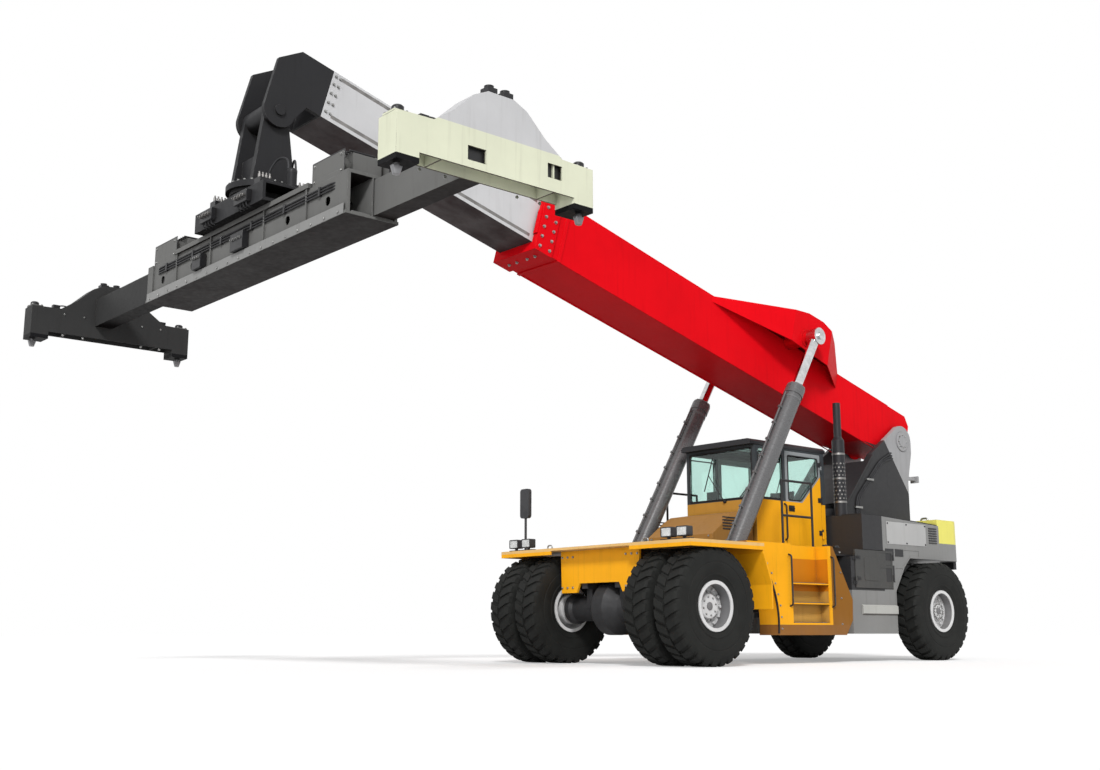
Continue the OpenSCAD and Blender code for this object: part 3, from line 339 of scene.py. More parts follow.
def add_studs(work, along, across, height):
    """Raised lozenges that point along and across by turns. The height is a function of x and y, and gives
    None where there is no stud."""
    for i in range(int((along[1] - along[0]) / STUD_PITCH) + 1):
        x = along[0] + STUD_PITCH * i
        for k in range(int((across[1] - across[0]) / STUD_PITCH) + 1):
            y = across[0] + STUD_PITCH * (k + 0.5 * (i % 2))
            z = height(x, y)
            if z is None or y > across[1]:
                continue
            a, b = (STUD_LONG, STUD_NARROW) if (i + k) % 2 else (STUD_NARROW, STUD_LONG)
            rings = []
            for share, level in ((1.0, z - 0.001), (0.6, z + 0.003)):
                rings.append([(x - a * share, y, level), (x, y - b * share, level),
                              (x + a * share, y, level), (x, y + b * share, level)])
            work.loft(rings)


# Effects that the finishes share


class Nodes:
    """Places and joins the nodes of one material or group."""

    def __init__(self, tree):
        self.tree = tree

    def add(self, kind, **settings):
        """A node of one kind, with its settings and, for names that are inputs, their values or links."""
        node = self.tree.nodes.new("ShaderNode" + kind)
        for key, value in settings.items():
            if hasattr(node, key):
                setattr(node, key, value)
            else:
                self.put(node.inputs[key.replace("_", " ")], value)
        return node

    def put(self, socket, value):
        """Sets an input to a value, or joins it to an output."""
        if isinstance(value, bpy.types.NodeSocket):
            self.tree.links.new(value, socket)
        elif socket.type == "RGBA" and len(value) == 3:
            socket.default_value = (*value, 1)
        else:
            socket.default_value = value

    def put_all(self, node, values):
        """Sets or joins the inputs of a node in their order."""
        for socket, value in zip(node.inputs, values):
            self.put(socket, value)

    def maths(self, operation, one, two=0.5, clamp=False):
        """A sum, product or other operation of two values."""
        node = self.add("Math", operation=operation, use_clamp=clamp)
        self.put_all(node, (one, two))
        return node.outputs[0]

    def product(self, *factors):
        """The product of some values, kept between 0 and 1."""
        so_far = factors[0]
        for factor in factors[1:-1]:
            so_far = self.maths("MULTIPLY", so_far, factor)
        return self.maths("MULTIPLY", so_far, factors[-1], True)

    def dot(self, one, two):
        """How far one vector reaches along another."""
        node = self.add("VectorMath", operation="DOT_PRODUCT")
        self.put_all(node, (one, two))
        return node.outputs["Value"]

    def mix(self, share, one, two, blend="MIX"):
        """A mix of two colours."""
        node = self.add("Mix", data_type="RGBA", blend_type=blend)
        self.put(node.inputs["Factor"], share)
        self.put(node.inputs[6], one)
        self.put(node.inputs[7], two)
        return node.outputs[2]

    def ramp(self, value, low, high, to_low=0.0, to_high=1.0, smooth=True):
        """A value carried from one range to another."""
        node = self.add("MapRange", interpolation_type="SMOOTHSTEP" if smooth else "LINEAR")
        self.put_all(node, (value, low, high, to_low, to_high))
        return node.outputs[0]

    def noise(self, place, scale, detail=4.0, roughness=0.55):
        """A noise value over the surface."""
        node = self.add("TexNoise", Vector=place, Scale=scale, Detail=detail, Roughness=roughness)
        return node.outputs["Fac"]

    def place(self):
        """Where a point of the surface is on its piece."""
        return self.add("TexCoord").outputs["Object"]

    def height_of(self, vector):
        """The upward part of a vector."""
        return self.add("SeparateXYZ", Vector=vector).outputs["Z"]

    def effect(self, name, **values):
        """Places a shared effect, with values for its inputs."""
        node = self.tree.nodes.new("ShaderNodeGroup")
        node.node_tree = effect_group(name)
        for key, value in values.items():
            self.put(node.inputs[key], value)
        return node


def build_edge_wear(nodes, given, out):
    """Where an outer edge has lost its paint, and a normal that rounds the edges."""
    rounded = nodes.add("Bevel", samples=4, Radius=given["Radius"]).outputs[0]
    bend = nodes.ramp(nodes.dot(rounded, nodes.add("NewGeometry").outputs["Normal"]), 0.985, 0.90)
    broken = nodes.ramp(nodes.noise(nodes.place(), given["Break-up"], 6.0, 0.7), 0.46, 0.62)
    nodes.put(out["Mask"], nodes.product(bend, broken, given["Amount"]))
    nodes.put(out["Normal"], rounded)


def build_road_dust(nodes, given, out):
    """Where dust lies: low on the machine and on faces that look up."""
    place = nodes.place()
    low = nodes.ramp(nodes.height_of(place), given["Height"], 0.1)
    flat = nodes.ramp(nodes.height_of(nodes.add("NewGeometry").outputs["Normal"]), 0.55, 1.0)
    cover = nodes.maths("MAXIMUM", low, nodes.maths("MULTIPLY", flat, 0.55))
    patches = nodes.ramp(nodes.noise(place, given["Patches"], 7.0, 0.65), 0.30, 0.72)
    nodes.put(out["Mask"], nodes.product(cover, patches, given["Amount"]))


def build_corner_shade(nodes, given, out):
    """Closed corners, found by ambient occlusion and broken up a little: paint and metal darken there as
    painted shade with some grime, rubber takes pale dust there.
    """
    open_sky = nodes.add("AmbientOcclusion", samples=4, Distance=given["Reach"]).outputs["AO"]
    patches = nodes.ramp(nodes.noise(nodes.place(), 5.0, 5.0, 0.6), 0.25, 0.75, 0.55, 1.0)
    closed = nodes.ramp(open_sky, 0.85, 0.25)
    nodes.put(out["Mask"], nodes.product(closed, patches, given["Amount"]))


def build_rain_streaks(nodes, given, out):
    """Faint upright streaks that rain leaves on painted sides."""
    drawn = nodes.add("Mapping", Vector=nodes.place(), Scale=(9.0, 9.0, 0.55)).outputs[0]
    lines = nodes.ramp(nodes.noise(drawn, 1.6, 5.0, 0.6), 0.52, 0.74)
    nodes.put(out["Mask"], nodes.product(lines, given["Amount"]))


def build_underside_shade(nodes, given, out):
    """Where a face looks down, broken up a little: the paints darken there as painted shade."""
    down = nodes.height_of(nodes.add("TexCoord").outputs["Normal"])
    patches = nodes.ramp(nodes.noise(nodes.place(), 1.7, 5.0, 0.6), 0.2, 0.8, 0.88, 1.0)
    turned = nodes.ramp(down, -0.40, -0.80)
    nodes.put(out["Mask"], nodes.product(turned, patches, given["Amount"]))


def build_fine_relief(nodes, given, out):
    """A normal with the fine unevenness of sprayed paint, cast iron or rubber."""
    height = nodes.noise(nodes.place(), given["Scale"], 3.0, 0.5)
    bump = nodes.add("Bump", Strength=0.6, Distance=given["Depth"], Height=height, Normal=given["Normal"])
    nodes.put(out["Normal"], bump.outputs[0])


# What builds each effect, its inputs with their defaults, and its outputs
EFFECTS = {
    "Edge wear": (build_edge_wear, {"Radius": 0.007, "Break-up": 9.0, "Amount": 0.5}, ("Mask", "Normal")),
    "Road dust": (build_road_dust, {"Height": 1.8, "Patches": 2.3, "Amount": 0.35}, ("Mask",)),
    "Corner shade": (build_corner_shade, {"Reach": 0.12, "Amount": 0.5}, ("Mask",)),
    "Rain streaks": (build_rain_streaks, {"Amount": 0.3}, ("Mask",)),
    "Underside shade": (build_underside_shade, {"Amount": 0.5}, ("Mask",)),
    "Fine relief": (build_fine_relief, {"Scale": 60.0, "Depth": 0.001, "Normal": (0, 0, 0)}, ("Normal",)),
}


def effect_group(name):
    """The node group of an effect, built at its first use. Normals are vectors and the rest plain values."""
    if name in bpy.data.node_groups:
        return bpy.data.node_groups[name]
    build, inputs, outputs = EFFECTS[name]
    tree = bpy.data.node_groups.new(name, "ShaderNodeTree")

    def add_socket(label, way):
        kind = "NodeSocketVector" if label == "Normal" else "NodeSocketFloat"
        return tree.interface.new_socket(label, in_out=way, socket_type=kind)

    for label, value in inputs.items():
        add_socket(label, "INPUT").default_value = value
    for label in outputs:
        add_socket(label, "OUTPUT")
    start = tree.nodes.new("NodeGroupInput")
    end = tree.nodes.new("NodeGroupOutput")
    build(Nodes(tree), start.outputs, end.inputs)
    return tree


# Finishes

DUST = (0.30, 0.27, 0.235)
# Near black that paint and metal take in closed corners: painted shade with some grime
SHADE_AND_GRIME = (0.018, 0.016, 0.014)
PRIMER = (0.12, 0.11, 0.105)
RUST = (0.16, 0.055, 0.02)
FADED = (0.90, 0.90, 0.90)
STREAKED = (0.62, 0.60, 0.58)
# Dark tint for faces that look down: painted shade
UNDERSIDE_SHADE = (0.05, 0.03, 0.03)
FILM = (0.55, 0.55, 0.52)
CAB_GREY = (0.055, 0.062, 0.068)
DOOR_GREY = (0.30, 0.32, 0.33)
# Grey of the whole far end beam, darker than the near beam's telescopic part: painted shade
SHADED_BEAM_GREY = (0.045, 0.045, 0.045)
STRIP_GREY = (0.50, 0.50, 0.47)
DARK_GREY = (0.030, 0.030, 0.032)
CAB_WAIST_Z = 2.59


def new_material(name):
    """A material with a Principled shader: its nodes, that shader and the place on the surface."""
    material = bpy.data.materials.new(name)
    material.use_nodes = True
    nodes = Nodes(material.node_tree)
    return material, nodes, material.node_tree.nodes["Principled BSDF"], nodes.place()


def set_relief(nodes, shader, scale, depth, edges):
    """Gives a material its rounded edges with a fine unevenness over them."""
    fine = nodes.effect("Fine relief", Scale=scale, Depth=depth, Normal=edges.outputs["Normal"])
    nodes.put(shader.inputs["Normal"], fine.outputs["Normal"])


def paint(name, colour, gloss=0.38, coat=0.0, dust=0.15, dust_height=1.9, chips=0.45, shade_and_grime=0.5,
          streaks=0.25, under=PRIMER, underside_shade=0.0, zones=(), shine=0.3):
    """Sprayed paint with faded patches, streaks, dust, worn edges, painted shade with some grime in closed
    corners and, where wanted, painted shade on faces that look down. A zone is a colour and the half spaces,
    each a direction and a distance along it, that it lies in."""
    material, nodes, shader, place = new_material(name)
    coloured = colour
    for other, *limits in zones:
        share = None
        for way, distance in limits:
            past = nodes.maths("GREATER_THAN", nodes.dot(place, way), distance)
            share = past if share is None else nodes.maths("MULTIPLY", share, past)
        coloured = nodes.mix(share, coloured, other)
    fade = nodes.ramp(nodes.noise(place, 0.9, 5.0, 0.6), 0.3, 0.7, 0.0, 1.0)
    coloured = nodes.mix(fade, coloured, FADED, "MULTIPLY")
    streak = nodes.effect("Rain streaks", Amount=streaks).outputs["Mask"]
    coloured = nodes.mix(streak, coloured, STREAKED, "MULTIPLY")
    # Painted shade: faces that look down are darkened
    if underside_shade:
        below = nodes.effect("Underside shade", Amount=underside_shade).outputs["Mask"]
        coloured = nodes.mix(below, coloured, UNDERSIDE_SHADE, "MULTIPLY")
    # Painted shade with some grime: closed corners darken towards near black
    corner_shaded = nodes.effect("Corner shade", Reach=0.14, Amount=shade_and_grime).outputs["Mask"]
    coloured = nodes.mix(corner_shaded, coloured, SHADE_AND_GRIME)
    dusty = nodes.effect("Road dust", Height=dust_height, Amount=dust).outputs["Mask"]
    coloured = nodes.mix(dusty, coloured, DUST)
    edges = nodes.effect("Edge wear", Radius=sizes().rounding, Amount=chips)
    nodes.put(shader.inputs["Base Color"], nodes.mix(edges.outputs["Mask"], coloured, under))
    rough = nodes.ramp(nodes.noise(place, 14.0, 4.0), 0.2, 0.8, gloss * 0.85, gloss * 1.25, False)
    rough = nodes.maths("ADD", rough, nodes.maths("MULTIPLY", dusty, 0.5), True)
    nodes.put(shader.inputs["Roughness"], rough)
    shader.inputs["Specular IOR Level"].default_value = shine
    shader.inputs["Coat Weight"].default_value = coat
    shader.inputs["Coat Roughness"].default_value = 0.12
    set_relief(nodes, shader, 70.0, 0.0008, edges)
    return material


def metal(name, colour, rough=0.3, grain=0.15, rust=0.0, metallic=1.0, relief=0.0006):
    """Bare or cast metal with a grain and, where wanted, rust."""
    material, nodes, shader, place = new_material(name)
    cloud = nodes.noise(place, 7.0, 6.0, 0.65)
    coloured = nodes.mix(nodes.ramp(cloud, 0.3, 0.7), colour, tuple(c * 0.72 for c in colour))
    if rust:
        spots = nodes.ramp(nodes.noise(place, 11.0, 8.0, 0.7), 0.60, 0.72, 0.0, rust)
        coloured = nodes.mix(spots, coloured, RUST)
        nodes.put(shader.inputs["Metallic"], nodes.ramp(spots, 0.0, 1.0, metallic, 0.1))
    else:
        shader.inputs["Metallic"].default_value = metallic
    # Painted shade with some grime: closed corners darken towards near black
    corner_shaded = nodes.effect("Corner shade", Reach=0.08, Amount=0.55).outputs["Mask"]
    nodes.put(shader.inputs["Base Color"], nodes.mix(corner_shaded, coloured, SHADE_AND_GRIME))
    nodes.put(shader.inputs["Roughness"], nodes.ramp(cloud, 0.25, 0.75, rough, rough + grain, False))
    edges = nodes.effect("Edge wear", Radius=sizes().rounding * 0.6, Amount=0.0)
    set_relief(nodes, shader, 90.0, relief, edges)
    return material


def rubber(name, colour, rough=0.78, dust=0.4, scale=160.0):
    """Rubber, plastic or cloth with a fine grain and pale dust in its low places."""
    material, nodes, shader, place = new_material(name)
    cloud = nodes.noise(place, 4.0, 6.0, 0.6)
    coloured = nodes.mix(nodes.ramp(cloud, 0.3, 0.7), colour, tuple(c * 1.7 + 0.003 for c in colour))
    closed = nodes.effect("Corner shade", Reach=0.05, Amount=dust).outputs["Mask"]
    coloured = nodes.mix(closed, coloured, tuple(c * 0.10 for c in DUST))
    nodes.put(shader.inputs["Base Color"], coloured)
    nodes.put(shader.inputs["Roughness"], nodes.ramp(cloud, 0.2, 0.8, rough - 0.1, rough + 0.1, False))
    shader.inputs["Specular IOR Level"].default_value = 0.28
    set_relief(nodes, shader, scale, 0.0006, nodes.effect("Edge wear", Radius=0.004, Amount=0.0))
    return material


def pane(name, tint):
    """A flat pane of tinted safety glass with a little dust on it."""
    material, nodes, shader, place = new_material(name)
    film = nodes.ramp(nodes.noise(place, 3.0, 6.0, 0.6), 0.35, 0.8, 0.0, 0.10)
    nodes.put(shader.inputs["Base Color"], nodes.mix(film, tint, FILM))
    nodes.put(shader.inputs["Roughness"], nodes.ramp(film, 0.0, 0.1, 0.01, 0.06, False))
    shader.inputs["Transmission Weight"].default_value = 1.0
    shader.inputs["IOR"].default_value = 1.45
    return material


def finishes():
    """The machine's finishes by name: what makes each, its colour and its settings."""
    tone = colours()
    recess = ((LEFT, -1.645), (RIGHT, -1.645), (FORWARD, -3.035), (BACK, 2.125))
    # Painted shade: both end beams are near black below z 4.765, along their lower edge
    end_underside_shade = ((0.014, 0.014, 0.015), (DOWN, -4.765))
    return {
        "Boom red": (paint, tone.boom, {
            "gloss": 0.40, "dust": 0.02, "chips": 0.2, "streaks": 0.2, "underside_shade": 0.42, "shade_and_grime": 0.3,
            "shine": 0.03}),
        "Deck paint": (paint, tone.body, {
            "gloss": 0.36, "dust": 0.06, "dust_height": 1.3, "shine": 0.12,
            # Painted highlight: the deck's top above z 1.695 is a paler tan
            "zones": (((0.82, 0.52, 0.20), (UP, 1.695)),)}),
        "Body yellow": (paint, tone.body, {
            "gloss": 0.36, "dust": 0.12, "dust_height": 1.0, "shade_and_grime": 0.6, "shine": 0.08,
            # Painted shade: the side body's rear part behind x -3.10 and its part below z 0.585 are dark
            # brown, and the steps' recess is a darker orange, less dark below z 1.10
            "zones": (((0.30, 0.125, 0.018), (BACK, 3.10)), ((0.30, 0.13, 0.03), (DOWN, -0.585)),
                      ((0.66, 0.22, 0.010), *recess, (DOWN, -1.60)),
                      ((0.62, 0.34, 0.075), *recess, (DOWN, -1.10)))}),
        "Cover tan": (paint, (0.38, 0.19, 0.050), {
            "gloss": 0.46, "dust": 0.20, "dust_height": 2.0, "shade_and_grime": 0.6, "shine": 0.1}),
        "Cab paint": (paint, tone.body, {
            "gloss": 0.36, "dust": 0.10, "dust_height": 1.5, "shine": 0.08,
            # Painted shade: the cab's front face, ahead of x -2.43, is a darker orange; the grey above the
            # waist is the cab's own two-tone paint
            "zones": (((0.55, 0.28, 0.05), (FORWARD, -2.43)), (CAB_GREY, (UP, CAB_WAIST_Z)))}),
        "Cab door paint": (paint, tone.body, {
            "gloss": 0.36, "dust": 0.10, "dust_height": 1.5, "shine": 0.08,
            "zones": ((DOOR_GREY, (UP, CAB_WAIST_Z), ((0.44, 0, 0.47), -0.37)),)}),
        "Frame black": (paint, tone.chassis, {"gloss": 0.5, "dust": 0.25}),
        "Hood dark": (paint, (0.022, 0.022, 0.025), {"gloss": 0.42, "dust": 0.2}),
        "Spreader grey": (paint, tone.spreader, {
            "gloss": 0.44, "dust": 0.08, "chips": 0.8, "under": (0.30, 0.30, 0.30), "underside_shade": 1.0,
            "shade_and_grime": 0.8, "shine": 0.04}),
        "Head grey": (paint, DARK_GREY, {
            "gloss": 0.42, "dust": 0.08, "chips": 0.7, "under": (0.2, 0.2, 0.2), "underside_shade": 0.9, "shade_and_grime": 0.7,
            "shine": 0.12}),
        "Inner boom grey": (paint, tone.pale, {
            "gloss": 0.40, "dust": 0.06, "chips": 0.35, "underside_shade": 1.0, "streaks": 0.2, "shine": 0.03}),
        "End white": (paint, (0.78, 0.80, 0.62), {
            "gloss": 0.40, "dust": 0.06, "chips": 0.6, "underside_shade": 1.0, "shine": 0.03,
            # Painted light and shade: the near beam's telescopic part, inside y 4.52, is a lighter grey than
            # the same part on the far end beam
            "zones": ((tone.pale, (UP, 5.22)), ((0.17, 0.17, 0.165), (RIGHT, -4.52)), end_underside_shade)}),
        # The far end beam, all in a darker grey: painted shade
        "End grey": (paint, SHADED_BEAM_GREY, {
            "gloss": 0.40, "dust": 0.06, "chips": 0.6, "underside_shade": 1.0, "shine": 0.03, "zones": (end_underside_shade,)}),
        "Panel grey": (paint, tone.panel, {
            "gloss": 0.44, "dust": 0.2, "dust_height": 1.4, "underside_shade": 0.8,
            "zones": ((DARK_GREY, (FORWARD, -4.86), (UP, 1.15)), (STRIP_GREY, (LEFT, 1.421), (DOWN, -1.0)),
                      (STRIP_GREY, (RIGHT, 1.421), (DOWN, -1.0)))}),
        "Door grey": (paint, (0.060, 0.060, 0.058), {"gloss": 0.44, "dust": 0.2}),
        "Tower grey": (paint, (0.36, 0.36, 0.37), {
            "gloss": 0.42, "dust": 0.1, "zones": (((0.028, 0.028, 0.030), ((0.8, 0, -0.6), -7.35)),)}),
        "Counterweight": (paint, tone.panel, {"dust": 0.15, "zones": ((tone.corner, (UP, 2.02)),)}),
        "Cylinder grey": (paint, (0.105, 0.105, 0.108), {"gloss": 0.26, "dust": 0.08, "shine": 0.7}),
        "Rim white": (paint, tone.rim, {"gloss": 0.36, "dust": 0.06, "dust_height": 1.0, "shade_and_grime": 0.35}),
        "Tow grey": (paint, (0.06, 0.06, 0.062), {"gloss": 0.42}),
        "Wheel grey": (paint, (0.20, 0.20, 0.205), {"gloss": 0.45}),
        "Band grey": (paint, (0.16, 0.16, 0.165), {"gloss": 0.35}),
        "Ledge grey": (paint, (0.26, 0.26, 0.255), {"gloss": 0.4, "dust": 0.1, "chips": 0.9}),
        "Light panel": (paint, (0.46, 0.46, 0.455), {"gloss": 0.4, "coat": 0.1, "dust": 0.25}),
        "Equipment black": (paint, (0.016, 0.016, 0.018), {"gloss": 0.36, "coat": 0.2, "dust": 0.15}),
        "Tail red": (paint, (0.45, 0.01, 0.012), {"gloss": 0.15, "coat": 0.4, "dust": 0.1, "chips": 0.0}),
        "Chrome": (metal, (0.78, 0.78, 0.79), {"rough": 0.10, "grain": 0.06, "relief": 0.0001}),
        "Axle iron": (metal, DARK_GREY, {"rough": 0.5, "metallic": 0.3}),
        "Lock steel": (metal, (0.34, 0.34, 0.35), {"rough": 0.32, "rust": 0.25}),
        "Zinc steel": (metal, (0.42, 0.42, 0.41), {"rough": 0.34}),
        "Worn steel": (metal, (0.30, 0.29, 0.28), {"rough": 0.38, "rust": 0.35}),
        "Grip steel": (metal, (0.20, 0.20, 0.20), {"rough": 0.5, "metallic": 0.8}),
        "Heat shield": (metal, (0.33, 0.32, 0.31), {"rough": 0.36, "rust": 0.2}),
        "Lens": (metal, (0.72, 0.73, 0.72), {"rough": 0.12, "metallic": 0.6}),
        "Mirror": (metal, (0.85, 0.87, 0.88), {"rough": 0.03, "grain": 0.02, "relief": 0.0}),
        "Tyre rubber": (rubber, tone.rubber, {}),
        "Black plastic": (rubber, (0.03, 0.03, 0.032), {"rough": 0.55, "dust": 0.2, "scale": 220.0}),
        "Hose rubber": (rubber, (0.022, 0.022, 0.024), {"rough": 0.5, "dust": 0.2}),
        "Gasket rubber": (rubber, (0.012, 0.012, 0.013), {"rough": 0.6, "dust": 0.15}),
        "Seat cloth": (rubber, (0.028, 0.029, 0.033), {"rough": 0.85, "dust": 0.1, "scale": 420.0}),
        "Cab glass": (pane, tone.glass, {}),
    }


def finish_of(name):
    """The finish of that name, made at its first use."""
    if name in bpy.data.materials:
        return bpy.data.materials[name]
    make, colour, settings = finishes()[name]
    return make(name, colour, **settings)


# The nodes of the frame that have each finish
FRAME_FINISHES = {
    "Boom red": ("outer_boom",),
    "Deck paint": ("front_deck",),
    "Body yellow": ("side_bodies",),
    "Cover tan": ("front_cover",),
    "Cab paint": ("cab_body",),
    "Cab door paint": ("cab_door_left", "cab_door_right"),
    "Frame black": ("chassis_frame", "walkways"),
    "Hood dark": ("engine_hood", "cab_roof", "exhaust"),
    "Spreader grey": ("main_beam", "power_pack"),
    "Head grey": ("rotator", "hang_yoke", "boom_head"),
    "Inner boom grey": ("inner_boom",),
    "End white": ("beam_left",),
    "End grey": ("beam_right",),
    "Panel grey": ("compartments",),
    "Door grey": ("side_door_left", "side_door_right"),
    "Tower grey": ("boom_tower",),
    "Counterweight": ("counterweight",),
    "Cylinder grey": ("lift_tubes",),
    "Rim white": ("front_rims_left", "front_rims_right", "rear_rim_left", "rear_rim_right"),
    "Tow grey": ("tow_block",),
    "Chrome": ("lift_rods",),
    "Axle iron": ("drive_axle", "steer_axle", "knuckle_left", "knuckle_right", "engine_block"),
    "Lock steel": ("lock_left_front", "lock_left_rear", "lock_right_front", "lock_right_rear"),
    "Tyre rubber": ("front_tyres_left", "front_tyres_right", "rear_tyre_left", "rear_tyre_right"),
    "Cab glass": ("cab_glass", "door_glass_left", "door_glass_right"),
    "Black plastic": ("steering_console", "mirror_arm", "lamps", "seat"),
}


class STACKER_OT_finish_frame(bpy.types.Operator):
    """Give every piece of the frame its paint, rubber, metal or glass"""

    bl_idname = "stacker.finish_frame"
    bl_label = "Finish the frame's pieces"

    def execute(self, context):
        for finish, names in FRAME_FINISHES.items():
            material = finish_of(finish)
            for name in names:
                slots = frame["nodes"][name].data.materials
                if not slots:
                    slots.append(material)
                for i in range(len(slots)):
                    slots[i] = material
        return {"FINISHED"}


# Wheels

# One half of a tyre's section, as (radius, distance from the middle)
CARCASS = (
    (0.3203, 0.200), (0.364, 0.200), (0.395, 0.216), (0.425, 0.229), (0.430, 0.236), (0.446, 0.236),
    (0.451, 0.231), (0.520, 0.246), (0.550, 0.2495), (0.600, 0.2485), (0.606, 0.2440), (0.618, 0.2440),
    (0.624, 0.2475), (0.700, 0.243), (0.745, 0.234), (0.775, 0.218), (0.793, 0.195), (0.800, 0.150),
    (0.800, 0.050))
# A lug's section across the tyre, as (distance from the middle, radius)
LUG = ((0.016, 0.790), (0.016, TYRE_R), (0.100, TYRE_R), (0.182, TYRE_R), (0.219, 0.800), (0.2405, 0.735),
       (0.225, 0.725), (0.175, 0.785))
LUG_SHARE = 0.62
LUG_LEAN = 0.55
FRONT_WHEEL = {"rim_y": 2.0, "disc_y": 1.82, "face_y": 1.84, "hub_r": 0.225, "cap_y": 1.89, "cap_r": 0.18}
REAR_WHEEL = {"rim_y": 1.6, "disc_y": 1.46, "face_y": 1.53, "hub_r": 0.15, "cap_y": 1.53, "cap_r": 0.11}
BAND_R, BAND_OUTER_R, LIP_R = 0.3035, 0.3120, 0.3545


def add_tyre(work, centre):
    """A tyre round a wheel's centre: carcass with sidewall rings, and lugs on both shoulders."""
    half = [(along, radius) for radius, along in CARCASS]
    profile = [(-along, radius) for along, radius in half] + list(reversed(half))
    work.turned(profile, centre, LEFT, 120, closed=True)
    pitch = 2 * math.pi / sizes().lugs
    for side in SIDES:
        for k in range(sizes().lugs):
            start = (k + (0.5 if side < 0 else 0.0)) * pitch
            rings = []
            for share in (0.0, 0.5, 1.0):
                ring = []
                for along, radius in LUG:
                    angle = start + pitch * LUG_SHARE * share + LUG_LEAN * along
                    spoke = Vector((radius * math.cos(angle), side * along, radius * math.sin(angle)))
                    ring.append(centre + spoke)
                rings.append(ring)
            work.loft(rings)


class STACKER_OT_tyres(bpy.types.Operator):
    """Make the six tyres, with their sidewall rings and shoulder lugs"""

    bl_idname = "stacker.tyres"
    bl_label = "Tyres"

    def execute(self, context):
        for side, word in SIDE_WORDS:
            front, rear = collectors(2)
            for y in FRONT_Y:
                add_tyre(front, Vector((0, side * y, AXLE_Z)))
            tyres = front.finish(
                f"front_treads_{word}", f"wheels_front_{word}", "Tyre rubber", "tyre", sharp=28)
            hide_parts(f"front_tyres_{word}")
            add_tyre(rear, Vector((REAR_X, side * REAR_Y, AXLE_Z)))
            tyre = rear.finish(f"rear_tread_{word}", f"wheel_rear_{word}", "Tyre rubber", "tyre", sharp=28)
            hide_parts(f"rear_tyre_{word}")
        return {"FINISHED"}


def add_hub(bright, dark, x, side, rim_y, disc_y, face_y, hub_r, cap_y, cap_r):
    """Bolts on a hub's face and cap, a valve, and the grey lock ring of its rim with a grey band of painted
    shade lining the barrel inside it.
    """
    axis = (0, side, 0)
    face, end, disc, rim = (Vector((x, side * y, AXLE_Z)) for y in (face_y, cap_y, disc_y, rim_y))
    bright.bolts(circle_places(face, axis, (hub_r + cap_r) / 2, 16), axis, 0.022)
    bright.bolts(circle_places(end, axis, cap_r * 0.72, 8, 0.2), axis, 0.020)
    dark.turned([(0, 0.055), (0.010, 0.055), (0.016, 0.035)], end, axis, 24)
    # The grey band lining the rim's barrel is painted shade; the lip at its outer end is the lock ring
    inner = disc_y - rim_y + 0.005
    dark.turned([(inner, BAND_R), (0.002, BAND_R), (0.004, 0.330), (0.003, LIP_R), (-0.004, 0.3575),
                 (-0.010, LIP_R), (-0.010, BAND_OUTER_R), (inner, BAND_OUTER_R)], rim, axis, 96, closed=True)
    valve = disc + Vector((0.245, 0, 0.155))
    stem = valve + Vector((0, side * 0.03, 0))
    bright.tube([valve, stem, valve + Vector((0.03, side * 0.055, 0.02))], 0.006)
    for k in range(4):
        angle = math.pi / 4 + k * math.pi / 2
        spot = disc + Vector((0.335 * math.cos(angle), side * 0.004, 0.335 * math.sin(angle)))
        dark.turned([(-0.004, 0.011), (0.004, 0.011), (0.007, 0.007)], spot, axis, 12)


class STACKER_OT_hubs(bpy.types.Operator):
    """Make the hubs' bolts and valves, and the rims' lock rings with the grey bands of painted shade inside
    their barrels
    """

    bl_idname = "stacker.hubs"
    bl_label = "Hubs and rims"

    def execute(self, context):
        for side, word in SIDE_WORDS:
            for x, body, wheel in ((0.0, "wheels_front", FRONT_WHEEL), (REAR_X, "wheel_rear", REAR_WHEEL)):
                bright, dark = collectors(2)
                add_hub(bright, dark, x, side, **wheel)
                bright.finish(f"{body}_bolts_{word}", f"{body}_{word}", "Zinc steel", "rim_white")
                dark.finish(f"{body}_bands_{word}", f"{body}_{word}", "Wheel grey", "rim_white")
        return {"FINISHED"}


# Boom, with u along it, y across it and w square to both, from its pivot

LIFT_PIN = (3.321, 0.945, 0.611)
COLLAR_U, COLLAR_Y = (8.77, 8.96), 0.49
COLLAR_BOLTS_W = (-0.28, -0.12, 0.04, 0.20, 0.36, 0.54)
SEAM_Y = 0.452
HOSE_W = 0.66
HOSE_ROWS = (-0.09, -0.03, 0.03, 0.09)
CLAMPS_U = (0.6, 1.2, 1.7, 5.6, 6.4, 7.2, 8.0)


